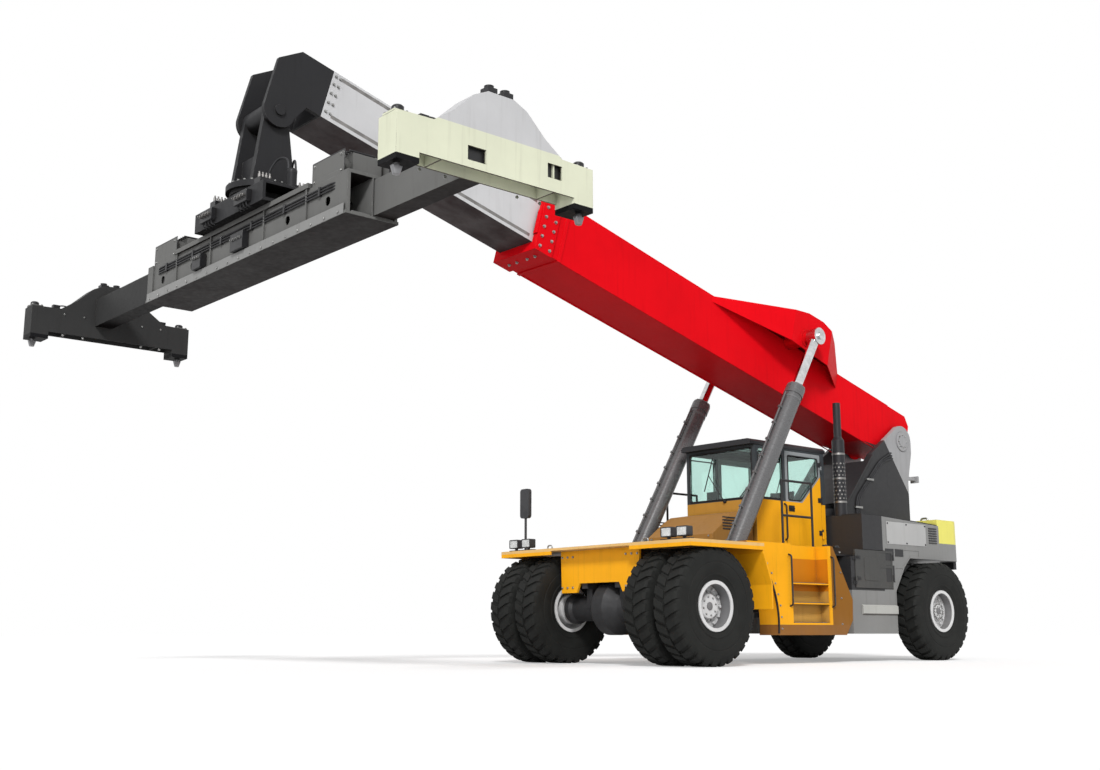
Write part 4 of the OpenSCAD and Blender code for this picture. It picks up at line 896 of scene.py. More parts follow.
class STACKER_OT_boom(bpy.types.Operator):
    """Make the outer boom's bolts, pin plates, wear pads, weld seams, and hoses with clamps and bulkheads"""

    bl_idname = "stacker.boom"
    bl_label = "Outer boom"

    def execute(self, context):
        steel, hoses, red = collectors(3, BOOM_FRAME)
        for side in SIDES:
            axis = (0, side, 0)
            steel.bolts([(u, side * COLLAR_Y, w) for u in COLLAR_U for w in COLLAR_BOLTS_W], axis)
            for w, way in ((0.63, UP), (-0.36, DOWN)):
                steel.bolts([(sum(COLLAR_U) / 2, side * y, w) for y in (0.12, 0.30)], way)
            pin = Vector((LIFT_PIN[0], side * LIFT_PIN[1], LIFT_PIN[2]))
            red.turned([(-0.01, 0.135), (0.012, 0.135), (0.018, 0.125)], pin, axis, 40)
            steel.bolts(circle_places(pin + Vector((0, side * 0.018, 0)), axis, 0.095, 6), axis, 0.030)
            red.plate((9.03, side * 0.39, -0.10), (9.055, side * 0.47, 0.30))
            for w in (-0.335, 0.605):
                red.tube([(0.35, side * SEAM_Y, w), (8.50, side * SEAM_Y, w)], 0.010, 8)
            for u in (2.2, 3.8, 5.4, 7.0):
                red.plate((u, side * 0.4, 0.598), (u + 0.05, side * 0.462, 0.606))
        for y in HOSE_ROWS:
            for path in (((0.05, 0.52), (0.30, HOSE_W), (1.75, HOSE_W)),
                         ((5.38, 0.55), (5.50, HOSE_W), (8.35, HOSE_W), (8.50, 0.58))):
                hoses.tube([(u, y, w) for u, w in path], sizes().hose * 0.5, 10)
        for u, w in ((0.06, 0.56), (1.78, 0.60), (5.34, 0.595), (8.46, 0.595)):
            red.plate((u, -0.16, w), (u + 0.03, 0.16, w + 0.10))
        for u in CLAMPS_U:
            for low, high in ((0.60, 0.612), (0.676, 0.686)):
                steel.plate((u, -0.13, low), (u + 0.05, 0.13, high))
            steel.bolts([(u + 0.025, y, 0.686) for y in (-0.118, 0.118)], UP, 0.018)
        steel.finish("boom_bolts", "boom", "Zinc steel", "lock_steel")
        hoses.finish("boom_hoses", "boom", "Hose rubber", "plastic_black")
        red.finish("boom_trim", "boom", "Boom red", "boom_red", bevel=0.002)
        return {"FINISHED"}


class STACKER_OT_inner_boom(bpy.types.Operator):
    """Make the inner boom's slide strips, and its head's bolts, pin plates and hoses"""

    bl_idname = "stacker.inner_boom"
    bl_label = "Inner boom"

    def execute(self, context):
        steel, hoses, strips = collectors(3, BOOM_FRAME)
        for side in SIDES:
            axis = (0, side, 0)
            for w in (-0.17, 0.40):
                strips.plate((9.10, side * 0.3740, w), (12.60, side * 0.3752, w + 0.05))
            pin = Vector((13.285, side * 0.345, -0.454))
            steel.turned([(-0.02, 0.075), (0.0, 0.075), (0.006, 0.068)], pin, axis, 32)
            places = [(u, side * 0.376, w) for u in (12.62, 12.69) for w in (-0.12, 0.02, 0.16, 0.30, 0.42)]
            steel.bolts(places, axis, 0.030)
        for y in (-0.12, -0.06, 0.0, 0.06, 0.12):
            hoses.tube([(12.60, y, 0.47), (12.70, y, 0.505), (12.90, y, 0.500)], sizes().hose * 0.45, 10)
        steel.finish("inner_boom_bolts", "inner_boom", "Zinc steel", "lock_steel")
        hoses.finish("head_hoses", "inner_boom", "Hose rubber", "plastic_black")
        strips.finish("slide_strips", "inner_boom", "Worn steel", "boom_white")
        return {"FINISHED"}


# Where the left lift cylinder stands, which way it points and where its gland is along it
LIFT_FOOT = (-1.12, 1.05, 1.10)
LIFT_WAY = Vector((-0.5218, 0, 0.8530))
GLAND_ALONG = 3.90


class STACKER_OT_lift_cylinders(bpy.types.Operator):
    """Make the lift cylinders' glands with their bolts, their bands and their hoses"""

    bl_idname = "stacker.lift_cylinders"
    bl_label = "Lift cylinders"

    def execute(self, context):
        steel, hoses, bands = collectors(3)
        for side in SIDES:
            foot = Vector((LIFT_FOOT[0], side * LIFT_FOOT[1], LIFT_FOOT[2]))
            gland = foot + LIFT_WAY * GLAND_ALONG
            bands.turned([(-0.002, 0.158), (0.030, 0.152), (0.045, 0.125)], gland, LIFT_WAY, 48)
            steel.bolts(circle_places(gland + LIFT_WAY * 0.028, LIFT_WAY, 0.138, 10), LIFT_WAY, 0.024)
            band = [(-0.02, 0.149), (-0.014, 0.156), (0.014, 0.156), (0.02, 0.149)]
            for along in (0.42, 3.66):
                bands.turned(band, foot + LIFT_WAY * along, LIFT_WAY, 48)
            port = foot + LIFT_WAY * 0.36 + Vector((0.10, -side * 0.11, 0.06))
            way = ((0, 0, 0), (0.06, -side * 0.12, 0.02), (-0.08, -side * 0.30, -0.05),
                   (-0.30, -side * 0.46, -0.16))
            for k in range(2):
                first = port + Vector((0.05 * k, 0.03 * k, 0))
                hoses.tube([first + Vector(step) for step in way], sizes().hose * 0.55, 12, 0.16)
        steel.finish("gland_bolts", "lift_tubes", "Zinc steel", "lock_steel")
        hoses.finish("cylinder_hoses", "lift_tubes", "Hose rubber", "plastic_black")
        bands.finish("cylinder_bands", "lift_tubes", "Band grey", "cylinder_grey")
        return {"FINISHED"}


# Spreader, from the pin in the boom's head

MOTOR_Y = 0.76
FLANGE_X = 0.3465
BEAM_X = 0.292
GUARD_X, GUARD_LOW, GUARD_HIGH = 0.300, -1.480, -1.215
GUARD_Y = (1.79, 2.46)
PIPE_X = 0.322
END_FLOOR = -2.24
END_TOP = END_FLOOR + 0.48
END_Y = 4.72
LOCK_X = 1.1295
COVER_TOP = END_TOP + 0.018
VALVE_FLOOR = -1.175


class STACKER_OT_head(bpy.types.Operator):
    """Make the bolts, motors' covers and hoses of the yoke and the rotator"""

    bl_idname = "stacker.head"
    bl_label = "Yoke and rotator"

    def execute(self, context):
        yoke_steel, steel, covers, hoses = collectors(4, HEAD_FRAME)
        for side in SIDES:
            axis = (0, side, 0)
            cap = Vector((0, side * 0.305, 0))
            yoke_steel.turned([(0, 0.095), (0.014, 0.095), (0.020, 0.086)], cap, axis, 32)
            yoke_steel.bolts(circle_places(cap + Vector((0, side * 0.020, 0)), axis, 0.062, 5), axis, 0.022)
            dome = [(0, 0.064), (0.03, 0.064), (0.045, 0.050), (0.06, 0.024)]
            covers.turned(dome, (0, side * MOTOR_Y, -0.94), UP, 28)
            for x in (-0.05, 0.05):
                hoses.tube([(x, side * MOTOR_Y, -0.90), (x, side * 0.74, -0.76), (x * 2, side * 0.60, -0.72),
                            (x * 3, side * 0.46, -0.86), (x * 3, side * 0.42, -1.03)], 0.014, 10, 0.10)
            steel.bolts([(x, side * y, -1.17) for x in (-0.40, 0.40) for y in (0.50, 0.66, 0.82)], UP, 0.032)
        yoke_steel.bolts(circle_places((0, 0, -0.97), UP, 0.425, 28), UP, 0.030)
        steel.finish("rotator_bolts", "rotator", "Zinc steel", "lock_steel")
        yoke_steel.finish("yoke_bolts", "yoke", "Zinc steel", "lock_steel")
        covers.finish("motor_covers", "rotator", "Equipment black", "spreader_grey")
        hoses.finish("rotator_hoses", "rotator", "Hose rubber", "plastic_black")
        return {"FINISHED"}


def add_guard(guards, edges, steel, face, end):
    """A bolted guard plate on one face of the main beam, near one end, with its top and side edges."""
    y0, y1 = sorted(end * y for y in GUARD_Y)
    near, far = face * BEAM_X, face * GUARD_X
    guards.plate((near, y0, GUARD_LOW), (far, y1, GUARD_HIGH))
    edges.plate((near, y0, GUARD_HIGH), (far, y1, -1.200))
    edges.plate((near, y0 - 0.012, GUARD_LOW), (far, y0, -1.200))
    edges.plate((near, y1, GUARD_LOW), (far, y1 + 0.012, -1.200))
    steel.bolts([(far, y, z) for y in (y0 + 0.05, y1 - 0.05) for z in (-1.44, -1.25)], (face, 0, 0), 0.022)


class STACKER_OT_main_beam(bpy.types.Operator):
    """Make the main beam's flange strips and bolts, guard plates, pipes, valve boxes and top slats"""

    bl_idname = "stacker.main_beam"
    bl_label = "Main beam"

    def execute(self, context):
        steel, black, pipes, strips, guards = collectors(5, HEAD_FRAME)
        for face in SIDES:
            axis = (face, 0, 0)
            steel.bolts([(face * FLANGE_X, -2.45 + k * 4.90 / 17, -1.955) for k in range(18)], axis, 0.026)
            strips.plate((face * FLANGE_X, -2.56, -1.990), (face * 0.3505, 2.56, -1.870))
            for end in SIDES:
                add_guard(guards, black, steel, face, end)
            for z in (-1.56, -1.595, -1.63):
                pipes.tube([(face * 0.30, -2.3, z), (face * PIPE_X, -2.24, z), (face * PIPE_X, 2.24, z),
                            (face * 0.30, 2.3, z)], 0.010, 8, 0.03)
            for y in (-2.0, -1.2, -0.4, 0.4, 1.2, 2.0):
                black.plate((face * 0.305, y - 0.02, -1.65), (face * 0.340, y + 0.02, -1.54))
            for y, half, top in ((0.15, 0.16, -1.50), (-0.95, 0.12, -1.53)):
                black.plate((face * 0.31, y - half, -1.86), (face * 0.40, y + half, top - 0.14))
                for k in range(4):
                    spot = (face * 0.40, y - half * 0.7 + k * half * 0.46, -1.72)
                    steel.turned([(0, 0.016), (0.012, 0.016), (0.012, 0.010), (0.030, 0.010)], spot, axis, 10)
        for y in (1.86, -2.34):
            black.slats((-0.17, y, -1.17), (0.17, y + 0.022, -1.152), (0, 0.06, 0), 9)
        steel.finish("beam_bolts", "main_beam", "Zinc steel", "lock_steel")
        black.finish("beam_equipment", "main_beam", "Equipment black", "spreader_grey", bevel=0.003)
        strips.finish("beam_strips", "main_beam", "Ledge grey", "spreader_grey", bevel=0.002)
        guards.finish("beam_guards", "main_beam", "Spreader grey", "spreader_grey", bevel=0.002)
        pipes.finish("beam_pipes", "main_beam", "Hose rubber", "plastic_black")
        return {"FINISHED"}


def add_lock_cover(steel, black, pale, side, face):
    """The cover over one twistlock with its sensor, and the junction box and cable beside it."""
    x, y = face * LOCK_X, side * END_Y
    pale.plate((x - 0.085, y - 0.10, END_TOP - 0.005), (x + 0.085, y + 0.10, COVER_TOP))
    black.turned([(0, 0.060), (0.05, 0.060), (0.065, 0.045)], (x, side * 4.7465, COVER_TOP), UP, 28)
    steel.bolts([(x + a * 0.068, y + b * 0.08, COVER_TOP) for a in SIDES for b in SIDES], UP, 0.022)
    box_x = x - face * 0.30
    black.plate((box_x - 0.05, y - 0.04, END_TOP - 0.004), (box_x + 0.05, y + 0.04, END_TOP + 0.075))
    black.tube([(box_x, y, END_TOP + 0.06), (x - face * 0.42, y, END_TOP + 0.09),
                (x - face * 0.56, y, END_TOP + 0.05)], 0.010, 8, 0.05)


class STACKER_OT_end_beams(bpy.types.Operator):
    """Make the end beams' lock covers with their sensors and cables, black plates painted as the shade in
    their openings, lamps and bolts
    """

    bl_idname = "stacker.end_beams"
    bl_label = "End beams"

    def execute(self, context):
        for side, word in SIDE_WORDS:
            steel, black, pale = collectors(3, HEAD_FRAME)
            for face in SIDES:
                add_lock_cover(steel, black, pale, side, face)
            near, far = side * 4.800, side * 4.825
            # Black plates on the end beam's face: painted shade standing in for the dark of its openings
            for x, half, low, high in ((0.29, 0.125, 0.17, 0.345), (-0.70, 0.11, 0.235, 0.415)):
                black.plate((x - half, near, END_FLOOR + low), (x + half, far, END_FLOOR + high))
            foot = END_FLOOR + 0.93
            lamp = [(0, 0.045), (0.03, 0.05), (0.035, 0.03)]
            for x in (-0.10, 0.10):
                black.plate((x - 0.06, side * 4.74, foot), (x + 0.06, side * 4.86, foot + 0.075))
                black.turned(lamp, (x, near, foot + 0.075), UP, 20)
            for x in (-0.75, -0.45, 0.45, 0.75):
                steel.bolts([(x, side * 4.575, END_FLOOR + z) for z in (0.08, 0.40)], (0, -side, 0), 0.026)
            steel.finish(f"end_bolts_{word}", f"beam_{word}", "Zinc steel", "lock_steel")
            black.finish(f"end_fittings_and_shade_plates_{word}", f"beam_{word}", "Equipment black", "plastic_black")
            pale.finish(f"lock_covers_{word}", f"beam_{word}", "End white", "end_white", bevel=0.003)
        return {"FINISHED"}


class STACKER_OT_valves(bpy.types.Operator):
    """Make the valve blocks, coils and hoses on the rotator's carriage"""

    bl_idname = "stacker.valves"
    bl_label = "Valve blocks"

    def execute(self, context):
        blocks, coils, hoses = collectors(3, HEAD_FRAME)
        for side in SIDES:
            coil = [(0, 0.019), (0.055, 0.019), (0.060, 0.011), (0.085, 0.011)]
            for x0, y0, wide in ((0.18, 0.52, 0.20), (-0.42, 0.48, 0.22)):
                blocks.plate((x0, side * y0, VALVE_FLOOR), (x0 + wide, side * (y0 + 0.14), -1.04))
                for k in range(4):
                    x = x0 + 0.03 + (wide - 0.06) * k / 3
                    coils.turned(coil, (x, side * (y0 + 0.07), -1.042), UP, 14)
                    end = side * (y0 + 0.145)
                    hoses.tube([(x, side * (y0 + 0.13), -1.10), (x, end + side * 0.03, -1.10),
                                (x, end + side * 0.05, -1.16)], 0.010, 8, 0.03)
            blocks.plate((0.462, side * 0.30, -1.37), (0.53, side * 0.62, -1.22))
            coil = [(0, 0.018), (0.03, 0.018), (0.034, 0.010), (0.055, 0.010)]
            for k in range(4):
                y = side * (0.35 + 0.075 * k)
                coils.turned(coil, (0.53, y, -1.295), FORWARD, 12)
                hoses.tube([(0.50, y, -1.365), (0.50, y, -1.41), (0.44, y, -1.43)], 0.009, 8, 0.03)
        blocks.finish("valve_blocks", "rotator", "Equipment black", "spreader_grey", bevel=0.003)
        coils.finish("valve_coils", "rotator", "Worn steel", "lock_steel")
        hoses.finish("valve_hoses", "rotator", "Hose rubber", "plastic_black")
        return {"FINISHED"}


# Cab

CAB_SIDE = 0.752
SILL_Z, PANE_TOP = 2.62, 3.36
SEAT_HALF, SEAT_FLOOR = 0.18, 1.815


class STACKER_OT_cab(bpy.types.Operator):
    """Make the cab's window gaskets, wipers, grab rails, screen and hand controls"""

    bl_idname = "stacker.cab"
    bl_label = "Cab"

    def execute(self, context):
        seals, rails, inside = collectors(3)
        for x in (-2.418, -4.222):
            seals.border((x, -0.68, SILL_Z), (x, 0.68, 3.42), 0.013)
        for side in SIDES:
            y = side * CAB_SIDE
            seals.border((-3.10, y, SILL_Z), (-2.49, y, PANE_TOP), 0.012)
            foot, head = ((-3.135, side * 0.745, z) for z in (1.95, 2.55))
            rails.handle(foot, head, (0, side * 0.055, 0), 0.03, 0.013, 12, 0.04)
        seals.border((-3.92, -0.42, 3.562), (-2.92, 0.42, 3.562), 0.010)
        for x, out in ((-2.395, 1), (-4.245, -1)):
            seals.turned([(-0.03, 0.028), (0.0, 0.028), (0.008, 0.018)], (x, 0.10, 2.585), (out, 0, 0), 20)
            arm = [(x, 0.10, 2.585), (x + out * 0.012, -0.10, 2.86), (x + out * 0.002, -0.24, 3.05)]
            seals.tube(arm, 0.007, 8)
            seals.tube([(x - out * 0.006, -0.34, 2.78), (x - out * 0.006, -0.14, 3.32)], 0.009, 8)
        inside.plate((-2.70, -0.52, 2.58), (-2.66, -0.28, 2.80))
        inside.tube([(-2.62, -0.40, 2.40), (-2.66, -0.40, 2.60)], 0.014)
        for low, high in ((-0.40, -0.30), (0.30, 0.40)):
            inside.plate((-3.92, low, 2.36), (-3.56, high, 2.41))
        inside.tube([(-3.62, -0.35, 2.40), (-3.61, -0.35, 2.53)], 0.012)
        knob = [(0, 0.016), (0.02, 0.026), (0.05, 0.026), (0.065, 0.014)]
        inside.turned(knob, (-3.61, -0.35, 2.52), UP, 20)
        seals.finish("cab_seals", "chassis", "Gasket rubber", "plastic_black")
        rails.finish("cab_rails", "chassis", "Equipment black", "cab_dark")
        inside.finish("cab_controls", "chassis", "Black plastic", "plastic_black", bevel=0.003)
        return {"FINISHED"}


class STACKER_OT_cab_doors(bpy.types.Operator):
    """Make the cab doors' gaskets, hinges and handles"""

    bl_idname = "stacker.cab_doors"
    bl_label = "Cab doors"

    def execute(self, context):
        for side, word in SIDE_WORDS:
            work = Metalwork()
            pane = [(-3.57, SILL_Z), (-3.25, SILL_Z), (-3.25, PANE_TOP), (-4.04, PANE_TOP), (-4.04, 3.06)]
            work.loop([(x, side * CAB_SIDE, z) for x, z in pane], 0.011, 0.04)
            knuckle = [(0, 0.012), (0.002, 0.014), (0.118, 0.014), (0.12, 0.012)]
            for z in (2.05, 2.60, 3.20):
                work.turned(knuckle, (-4.12, side * 0.764, z), UP, 16)
                work.plate((-4.11, side * 0.750, z + 0.02), (-4.03, side * 0.758, z + 0.10))
            work.plate((-3.39, side * 0.750, 2.435), (-3.25, side * 0.760, 2.525))
            foot, head = ((x, side * 0.758, 2.48) for x in (-3.375, -3.270))
            work.handle(foot, head, (0, side * 0.024, 0), 0.005, 0.009, 10, 0.015)
            work.finish(f"cab_door_fittings_{word}", f"cab_door_{word}", "Gasket rubber", "plastic_black")
        return {"FINISHED"}


def add_cushion(name, centre, size, tilt):
    """A crowned cushion whose sides pull in between its corners, with piping round its edge."""
    mesh = bmesh.new()
    bmesh.ops.create_cube(mesh, size=2)
    bmesh.ops.subdivide_edges(mesh, edges=mesh.edges, cuts=14, use_grid_fill=True)
    half = Vector(size) / 2
    turn = Matrix.Translation(Vector(centre)) @ Matrix.Rotation(tilt, 4, "Y")
    pull = 0.035
    for vertex in mesh.verts:
        u, v, w = vertex.co
        crown = (1 - abs(u) ** 2.4) * (1 - abs(v) ** 2.4)
        x = half.x * u * (1 - pull * (1 - v * v) - 0.05 * abs(w) ** 3)
        y = half.y * v * (1 - pull * (1 - u * u) - 0.05 * abs(w) ** 3)
        z = half.z * w * (0.70 + 0.30 * crown if w > 0 else 0.86)
        channel = 0.008 * max(0.0, w) * math.exp(-((abs(v) - 0.55) / 0.05) ** 2)
        vertex.co = turn @ Vector((x, y, z - channel))
    for face in mesh.faces:
        face.smooth = True
    data = bpy.data.meshes.new(name)
    mesh.to_mesh(data)
    mesh.free()
    cushion = new_object(name, data)
    data.materials.append(finish_of("Seat cloth"))
    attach(cushion, "chassis")
    piping = Metalwork(turn)
    x, y, z = half.x * 0.94, half.y * 0.94, half.z * 0.52
    piping.border((-x, -y, z), (x, y, z), 0.006)
    piping.finish(f"{name}_piping", "chassis", "Black plastic", "seat_fabric")


class STACKER_OT_seat(bpy.types.Operator):
    """Make the driver's seat: a bellows base, a crowned cushion and a back"""

    bl_idname = "stacker.seat"
    bl_label = "Seat"

    def execute(self, context):
        base = Metalwork()
        rings = []
        for k in range(13):
            z = SEAT_FLOOR + 0.32 * k / 12
            inset = 0.02 if k % 2 else 0.0
            back, front, side = -3.93 + inset, -3.57 - inset, SEAT_HALF - inset
            rings.append([(back, -side, z), (front, -side, z), (front, side, z), (back, side, z)])
        base.loft(rings)
        base.plate((-3.98, -0.22, 2.128), (-3.52, 0.22, 2.146))
        stand = base.finish("seat_base", "chassis", "Black plastic", "plastic_black", bevel=0.003)
        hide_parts("seat")
        add_cushion("seat_cushion", (-3.745, 0, 2.200), (0.50, 0.52, 0.13), 0.0)
        add_cushion("seat_back", (-3.985, 0, 2.55), (0.62, 0.48, 0.12), math.radians(-97))
        return {"FINISHED"}


# Body

SIDE_Y = 1.66
RECESS_Y = 1.645
ARCH_X, ARCH_Z = -0.42, 0.60
ARCH_R = 1.372
PANEL_Y = 1.418
EXHAUST_X, EXHAUST_Y = -4.42, 0.92
TOWER_Y = 0.618
DECK_TOP = 1.7403
WALKWAY_TOP = 1.7303
GRILLE_LOW, GRILLE_HIGH = 2.60, 2.675


class STACKER_OT_steps(bpy.types.Operator):
    """Make the steps' grip plates, the grab rails beside them and the tanks' caps"""

    bl_idname = "stacker.steps"
    bl_label = "Steps and side bodies"

    def execute(self, context):
        grip, rails, trim = collectors(3)
        rows = 3
        for side in SIDES:
            for z, depth in ((0.615, 0.16), (0.915, 0.20), (1.215, 0.24)):
                inner = SIDE_Y - depth + 0.02
                grip.plate((-2.99, side * RECESS_Y, z - 0.002), (-2.17, side * inner, z + 0.006))
                for i in range(rows):
                    y = side * (inner + (RECESS_Y - inner) * (i + 0.5) / rows)
                    for k in range(16):
                        x = -2.955 + k * 0.05 + (0.012 if i % 2 else 0.0)
                        grip.turned([(0, 0.014), (0.006, 0.010)], (x, y, z + 0.006), UP, 8)
            for x in (-3.10, -2.06):
                foot, head = ((x, side * 1.655, z) for z in (0.86, 1.64))
                rails.handle(foot, head, (0, side * 0.06, 0), 0.02, sizes().rail / 2, 12, 0.05)
            for x in (-3.50, -3.22):
                trim.turned([(0, 0.055), (0.014, 0.055), (0.018, 0.046), (0.034, 0.046), (0.038, 0.040)],
                            (x, side * 1.47, 1.805), UP, 28)
        grip.finish("step_grips", "chassis", "Grip steel", "frame_black")
        rails.finish("step_rails", "chassis", "Equipment black", "frame_black")
        trim.finish("tank_caps", "chassis", "Equipment black", "frame_black", bevel=0.002)
        return {"FINISHED"}


class STACKER_OT_compartments(bpy.types.Operator):
    """Make the rear compartments' light panels, hatches and louvres, and their doors' latches and hinges"""

    bl_idname = "stacker.compartments"
    bl_label = "Rear compartments"

    def execute(self, context):
        panel, dark = collectors(2)
        for side, word in SIDE_WORDS:
            panel.plate((-6.15, side * 1.419, 1.94), (-4.98, side * 1.426, 2.32))
            for x in (-6.12, -5.56, -5.01):
                dark.bolts([(x, side * 1.426, z) for z in (1.97, 2.29)], (0, side, 0), 0.020)
            for x, z, tall in ((-5.16, 1.66, 0.20), (-5.44, 1.74, 0.12), (-5.16, 1.30, 0.28)):
                dark.plate((x, side * PANEL_Y, z), (x + 0.24, side * 1.425, z + tall))
            dark.slats((-6.48, side * PANEL_Y, 2.00), (-6.24, side * 1.432, 2.018), (0, 0, 0.042), 7)
            door = Metalwork()
            for z in (1.32, 1.66):
                door.plate((-4.19, side * 1.428, z), (-4.10, side * 1.442, z + 0.05))
                door.turned([(0, 0.010), (0.012, 0.010)], (-4.145, side * 1.440, z + 0.025), (0, side, 0), 12)
                door.turned([(0, 0.012), (0.10, 0.012)], (-5.105, side * 1.436, z), UP, 12)
            door.finish(f"side_door_fittings_{word}", f"side_door_{word}", "Equipment black", "door_grey")
        panel.finish("light_panels", "chassis", "Light panel", "rear_grey", bevel=0.003)
        dark.finish("louvres", "chassis", "Equipment black", "rear_grey")
        return {"FINISHED"}


class STACKER_OT_hood(bpy.types.Operator):
    """Make the engine hood's latches, and the exhaust's heat shield and clamps"""

    bl_idname = "stacker.hood"
    bl_label = "Hood and exhaust"

    def execute(self, context):
        work, shield = collectors(2)
        for side in SIDES:
            for x in (-5.9, -5.3, -4.7):
                work.plate((x - 0.05, side * 0.515, 2.06), (x + 0.05, side * 0.535, 2.16))
                foot, head = ((x + shift, side * 0.53, 2.11) for shift in (-0.035, 0.035))
                work.handle(foot, head, (0, side * 0.03, 0), 0.005, 0.007, 8, 0.012)
        clamp = [(0, 0.104), (0.004, 0.110), (0.036, 0.110), (0.040, 0.104)]
        for z in (2.62, 3.02, 3.44):
            shield.turned(clamp, (EXHAUST_X, EXHAUST_Y, z), UP, 36)
        for k in range(10):
            centre = Vector((EXHAUST_X, EXHAUST_Y, 2.70 + 0.066 * k))
            for turn in range(10):
                angle = 2 * math.pi * (turn + 0.5 * (k % 2)) / 10
                way = Vector((math.cos(angle), math.sin(angle), 0))
                shield.turned([(0, 0.016), (0.003, 0.013)], centre + way * 0.104, way, 10)
        work.finish("hood_latches", "chassis", "Equipment black", "hood_dark", bevel=0.002)
        shield.finish("exhaust_shield", "chassis", "Heat shield", "hood_dark")
        return {"FINISHED"}


class STACKER_OT_tower(bpy.types.Operator):
    """Make the tower's pin caps, bolts, and hydraulic lines with their clamps"""

    bl_idname = "stacker.tower"
    bl_label = "Boom tower"

    def execute(self, context):
        steel, lines = collectors(2)
        for side in SIDES:
            axis = (0, side, 0)
            pivot = Vector((BOOM_PIVOT.x, side * 0.63, BOOM_PIVOT.z))
            steel.turned([(-0.03, 0.150), (-0.018, 0.150), (-0.012, 0.142)], pivot, axis, 40)
            steel.bolts(circle_places(pivot - Vector((0, side * 0.012, 0)), axis, 0.118, 8), axis, 0.026)
            steel.bolts([(-4.95 - 0.30 * k, side * 0.601, 2.62 + 0.335 * k) for k in range(3)], axis, 0.030)
            for k in range(3):
                shift = 0.05 * k
                path = ((-5.30 - shift, 2.42), (-5.30 - shift, 2.80), (-6.05 - shift, 3.52),
                        (-6.42 - shift * 0.4, 3.70 - shift))
                lines.tube([(x, side * TOWER_Y, z) for x, z in path], sizes().hose * 0.42, 10, 0.14)
            for x, z in ((-5.35, 2.62), (-5.72, 3.14)):
                steel.plate((x - 0.10, side * 0.600, z), (x + 0.10, side * 0.640, z + 0.035))
        steel.finish("tower_bolts", "chassis", "Zinc steel", "tower_grey")
        lines.finish("tower_lines", "chassis", "Hose rubber", "plastic_black")
        return {"FINISHED"}


class STACKER_OT_underside(bpy.types.Operator):
    """Make the drive shaft, the brake pipes and the chassis pipes between the axles"""

    bl_idname = "stacker.underside"
    bl_label = "Shaft and pipes"

    def execute(self, context):
        shaft, lines = collectors(2)
        start, end = Vector((-3.90, 0, 1.05)), Vector((-0.42, 0, AXLE_Z))
        length = (end - start).length
        joint = [(0, 0.095), (0.03, 0.095), (0.035, 0.05), (0.16, 0.05), (0.20, 0.062)]
        profile = joint + [(length - along, radius) for along, radius in reversed(joint)]
        shaft.turned(profile, start, end - start, 28)
        for side in SIDES:
            y = side * 0.275
            for z in (0.98, 1.03, 1.08):
                lines.tube([(-5.9, y, z), (-1.6, y, z), (-0.5, y, z - 0.04)], 0.011, 8, 0.10)
            lines.tube([(-0.30, side * 0.20, 1.12), (-0.24, side * 0.45, 1.14), (-0.24, side * 0.90, 1.12),
                        (-0.20, side * 0.98, 1.02)], 0.012, 8, 0.08)
        shaft.finish("drive_shaft", "chassis", "Axle iron", "axle_grey")
        lines.finish("chassis_pipes", "chassis", "Hose rubber", "plastic_black")
        return {"FINISHED"}


def walkway_top(x, y):
    """Height of the walkways, which are level."""
    return WALKWAY_TOP


def compartment_top(x, y):
    """Height of a compartment's top, or None at the exhaust."""
    if math.hypot(x - EXHAUST_X, abs(y) - EXHAUST_Y) < 0.16:
        return None
    return 2.42 - max(0.0, -4.80 - x) * 0.0455


class STACKER_OT_walkways(bpy.types.Operator):
    """Make the grip studs on the walkways and on the compartments' tops"""

    bl_idname = "stacker.walkways"
    bl_label = "Walkways"

    def execute(self, context):
        studs = Metalwork()
        for side in SIDES:
            add_studs(studs, (-4.16, -2.46), sorted((side * 0.84, side * 1.21)), walkway_top)
            add_studs(studs, (-6.48, -4.36), sorted((side * 0.72, side * 1.36)), compartment_top)
        studs.finish("walkway_studs", "chassis", "Frame black", "frame_black")
        return {"FINISHED"}


def deck_top(x, y):
    """Height of the front deck, or None at its two front corners, where the lamps stand."""
    return None if x > 0.28 and abs(y) > 1.38 else DECK_TOP


class STACKER_OT_deck(bpy.types.Operator):
    """Make the front deck's studs and eyes, the apron's bolts, and the front cover's bolts and louvres"""

    bl_idname = "stacker.deck"
    bl_label = "Front deck"

    def execute(self, context):
        studs, steel, dark = collectors(3)
        add_studs(studs, (-0.92, 0.55), (-1.98, 2.02), deck_top)
        for side in SIDES:
            foot, other = ((0.40, side * y, 1.735) for y in (1.00, 1.10))
            steel.handle(foot, other, (0, 0, 0.065), 0, 0.011, 12, 0.045)
            for z in (1.14, 1.60):
                steel.bolts([(0.3405, side * y, z) for y in (0.58, 0.70, 0.82)], FORWARD, 0.026)
            steel.bolts([(-1.415, side * 0.62, z) for z in (1.80, 1.95)], FORWARD, 0.022)
            steel.bolts([(-0.95, side * y, DECK_TOP) for y in (0.95, 1.25, 1.55, 1.85)], UP, 0.026)
            dark.slats((-1.98, side * 0.697, 2.06), (-1.66, side * 0.708, 2.08), (0, 0, 0.045), 5)
        studs.finish("deck_studs", "chassis", "Deck paint", "body_yellow")
        steel.finish("deck_bolts", "chassis", "Zinc steel", "lock_steel")
        dark.finish("cover_louvres", "chassis", "Equipment black", "frame_black")
        return {"FINISHED"}


def arch_place(radius, y, degrees):
    """A point of the front wheel arch, by its radius and its angle."""
    angle = math.radians(degrees)
    return (ARCH_X + radius * math.cos(angle), y, ARCH_Z + radius * math.sin(angle))


